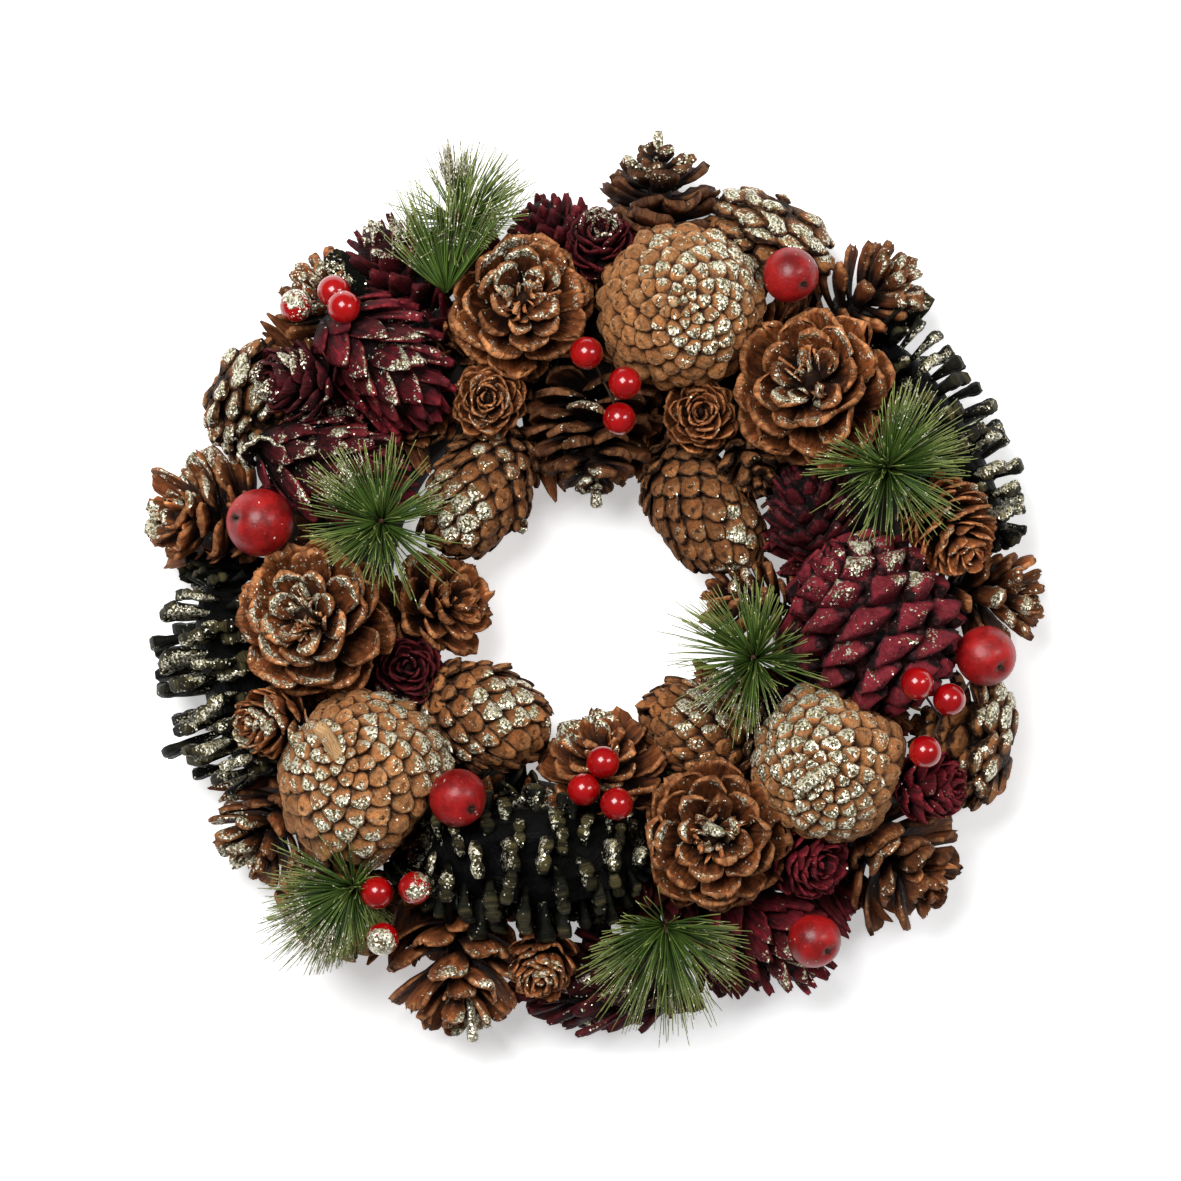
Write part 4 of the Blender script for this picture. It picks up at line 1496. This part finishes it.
def build_stalks(materials):
    rng = np.random.default_rng(STALK_SEED)
    for stalk in STALKS:
        heap = Heap()
        line = curve_between(stalk.start, stalk.end, (0.3, 0.6, 0), len(STALK_PROFILE))
        rod(heap, line, stalk.radius * np.array(STALK_PROFILE), 14, (0.6, stalk.dust, 1), rng, rough=0.05)
        heap.finish(stalk.node + "_stalk", stalk.node, "tan", materials["cut_wood"])


def build_ring(materials):
    """Bundled straw in strands that wind slowly round the ring, and twine wound tightly over them."""
    rng = np.random.default_rng(RING_SEED)
    straw, twine = Heap(), Heap()
    steps, loop = 96, 40
    around, turn = whole_turn(steps)[:, None], -whole_turn(loop)[None, :]
    ridge = 0.7 * np.abs(np.sin(6 * turn + 3 * around)) - 0.9
    flat = RING_MIDDLE_RADIUS + (RING_HALF_WIDTH + ridge) * np.cos(turn)
    height = np.clip((RING_HALF_DEPTH + ridge) * np.sin(turn), -RING_BACK_DEPTH, None) + RING_BACK_DEPTH
    points = vectors(flat * np.cos(around), flat * np.sin(around), height)
    near = np.arange(steps)[:, None] * loop + np.arange(loop)
    beyond = np.roll(near, -1, axis=0)
    faces = np.stack([near, beyond, np.roll(beyond, -1, 1), np.roll(near, -1, 1)], -1).reshape(-1, 4)
    grain = vectors(turn * SECTION_RADIUS, around * RING_MIDDLE_RADIUS, 0)
    straw.add(points, [faces], (0, 0.5, 1), grain, (0.5, 0, 0.5))
    straw.finish("straw_ring", "base_ring", "straw", materials["straw"])

    u = np.linspace(0, 1, TWINE_TURNS * TWINE_STEPS_IN_A_TURN + 1)
    about, wound = u * 2 * np.pi, u * TWINE_TURNS * 2 * np.pi
    flat = RING_MIDDLE_RADIUS + (RING_HALF_WIDTH - 0.4) * np.cos(wound)
    height = np.maximum((RING_HALF_DEPTH - 0.4) * np.sin(wound), -RING_BACK_DEPTH + 0.5) + RING_BACK_DEPTH
    line = vectors(flat * np.cos(about), flat * np.sin(about), np.maximum(height, 1.4))
    rod(twine, line, TWINE_RADIUS, 6, (0.5, 0, 1), rng)
    twine.finish("ring_twine", "base_ring", "straw", materials["twine"])


# The stage.


def link_new(name, data):
    obj = bpy.data.objects.new(name, data)
    bpy.context.scene.collection.objects.link(obj)
    return obj


def build_floor():
    mesh = bpy.data.meshes.new("floor")
    corners = [(x * FLOOR_REACH, y * FLOOR_REACH, 0) for x, y in ((-1, -1), (1, -1), (1, 1), (-1, 1))]
    mesh.from_pydata(corners, [], [(0, 1, 2, 3)])
    mesh.materials.append(floor_material())
    floor = link_new("floor", mesh)


def build_lights():
    world = bpy.data.worlds.new("studio")
    bpy.context.scene.world = world
    world.use_nodes = True
    sky = world.node_tree.nodes["Background"].inputs
    sky["Color"].default_value, sky["Strength"].default_value = (1, 1, 1, 1), SKY_STRENGTH
    for name, place, size, power in SOFTBOXES:
        light = bpy.data.lights.new(name, "AREA")
        light.shape = "RECTANGLE"
        light.size, light.size_y = size
        light.energy = power
        obj = link_new(name, light)
        obj.location = place
        obj.rotation_euler = (Vector(LIT_PLACE) - Vector(place)).to_track_quat("-Z", "Y").to_euler()
    bpy.context.scene.view_settings.view_transform = "Standard"


def build_camera():
    """A camera straight above the wreath that frames it as the photograph does."""
    camera = bpy.data.cameras.new("camera")
    camera.sensor_width = SENSOR_WIDTH
    camera.lens = SENSOR_WIDTH * CAMERA_DISTANCE / (PHOTO_SIZE * PHOTO_PIXEL * MM)
    obj = link_new("camera", camera)
    x, y = to_mm(PHOTO_SIZE / 2, PHOTO_SIZE / 2)
    height = CAMERA_DISTANCE + PHOTO_LEVEL
    obj.location = ((x + RING_CENTRE[0]) * MM, (y + RING_CENTRE[1]) * MM, height)
    bpy.context.scene.camera = obj


low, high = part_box("base_ring")
RING_CENTRE = np.array([(low.x + high.x) / 2, (low.y + high.y) / 2, 0]) / MM

materials = {
    "brown": cone_material("brown_scales", (0.017, 0.0050, 0.0018), (0.225, 0.064, 0.0165), (0.40, 0.165, 0.062)),
    "burgundy": cone_material(
        "burgundy_scales", (0.006, 0.0005, 0.0009), (0.125, 0.0046, 0.0105), (0.20, 0.017, 0.024),
        streak=0.30, dusty=(0.19, 0.036, 0.038),
    ),
    "black_green": cone_material(
        "black_green_scales", (0.0008, 0.0011, 0.0008), (0.0034, 0.0042, 0.0028), (0.052, 0.042, 0.016),
        rough=0.5, streak=0.35, rimmed=0.15, gloss=0.12,
    ),
    "tan_tiles": tile_material(
        "tan_tiles", (0.040, 0.013, 0.004), (0.350, 0.140, 0.046), (0.46, 0.21, 0.080), (0.52, 0.31, 0.15)
    ),
    "brown_tiles": tile_material(
        "brown_tiles", (0.020, 0.006, 0.002), (0.225, 0.078, 0.022), (0.32, 0.125, 0.040), (0.36, 0.19, 0.085)
    ),
    "burgundy_tiles": tile_material(
        "burgundy_tiles", (0.006, 0.0006, 0.001), (0.102, 0.0044, 0.0110), (0.18, 0.014, 0.023),
        (0.23, 0.052, 0.056), umbo=0.5, hidden=0.08,
    ),
    "needles": needle_material(),
    "gloss": gloss_berry_material(),
    "waxy": waxy_berry_material(),
    "wire": fibre_material("brown_wire", (0.03, 0.012, 0.006), (0.11, 0.05, 0.025)),
    "cut_wood": fibre_material("cut_wood", (0.30, 0.14, 0.05), (0.66, 0.42, 0.20)),
    "straw": fibre_material("dark_straw", (0.010, 0.006, 0.003), (0.042, 0.025, 0.013)),
    "twine": fibre_material("twine", (0.025, 0.014, 0.008), (0.075, 0.048, 0.026)),
}
blobs = all_blobs()
build_cones(blobs, materials)
build_tucked_scales(blobs, materials)
build_sprays(blobs, materials)
build_berries(materials)
build_stalks(materials)
build_ring(materials)
build_floor()
build_lights()
build_camera()
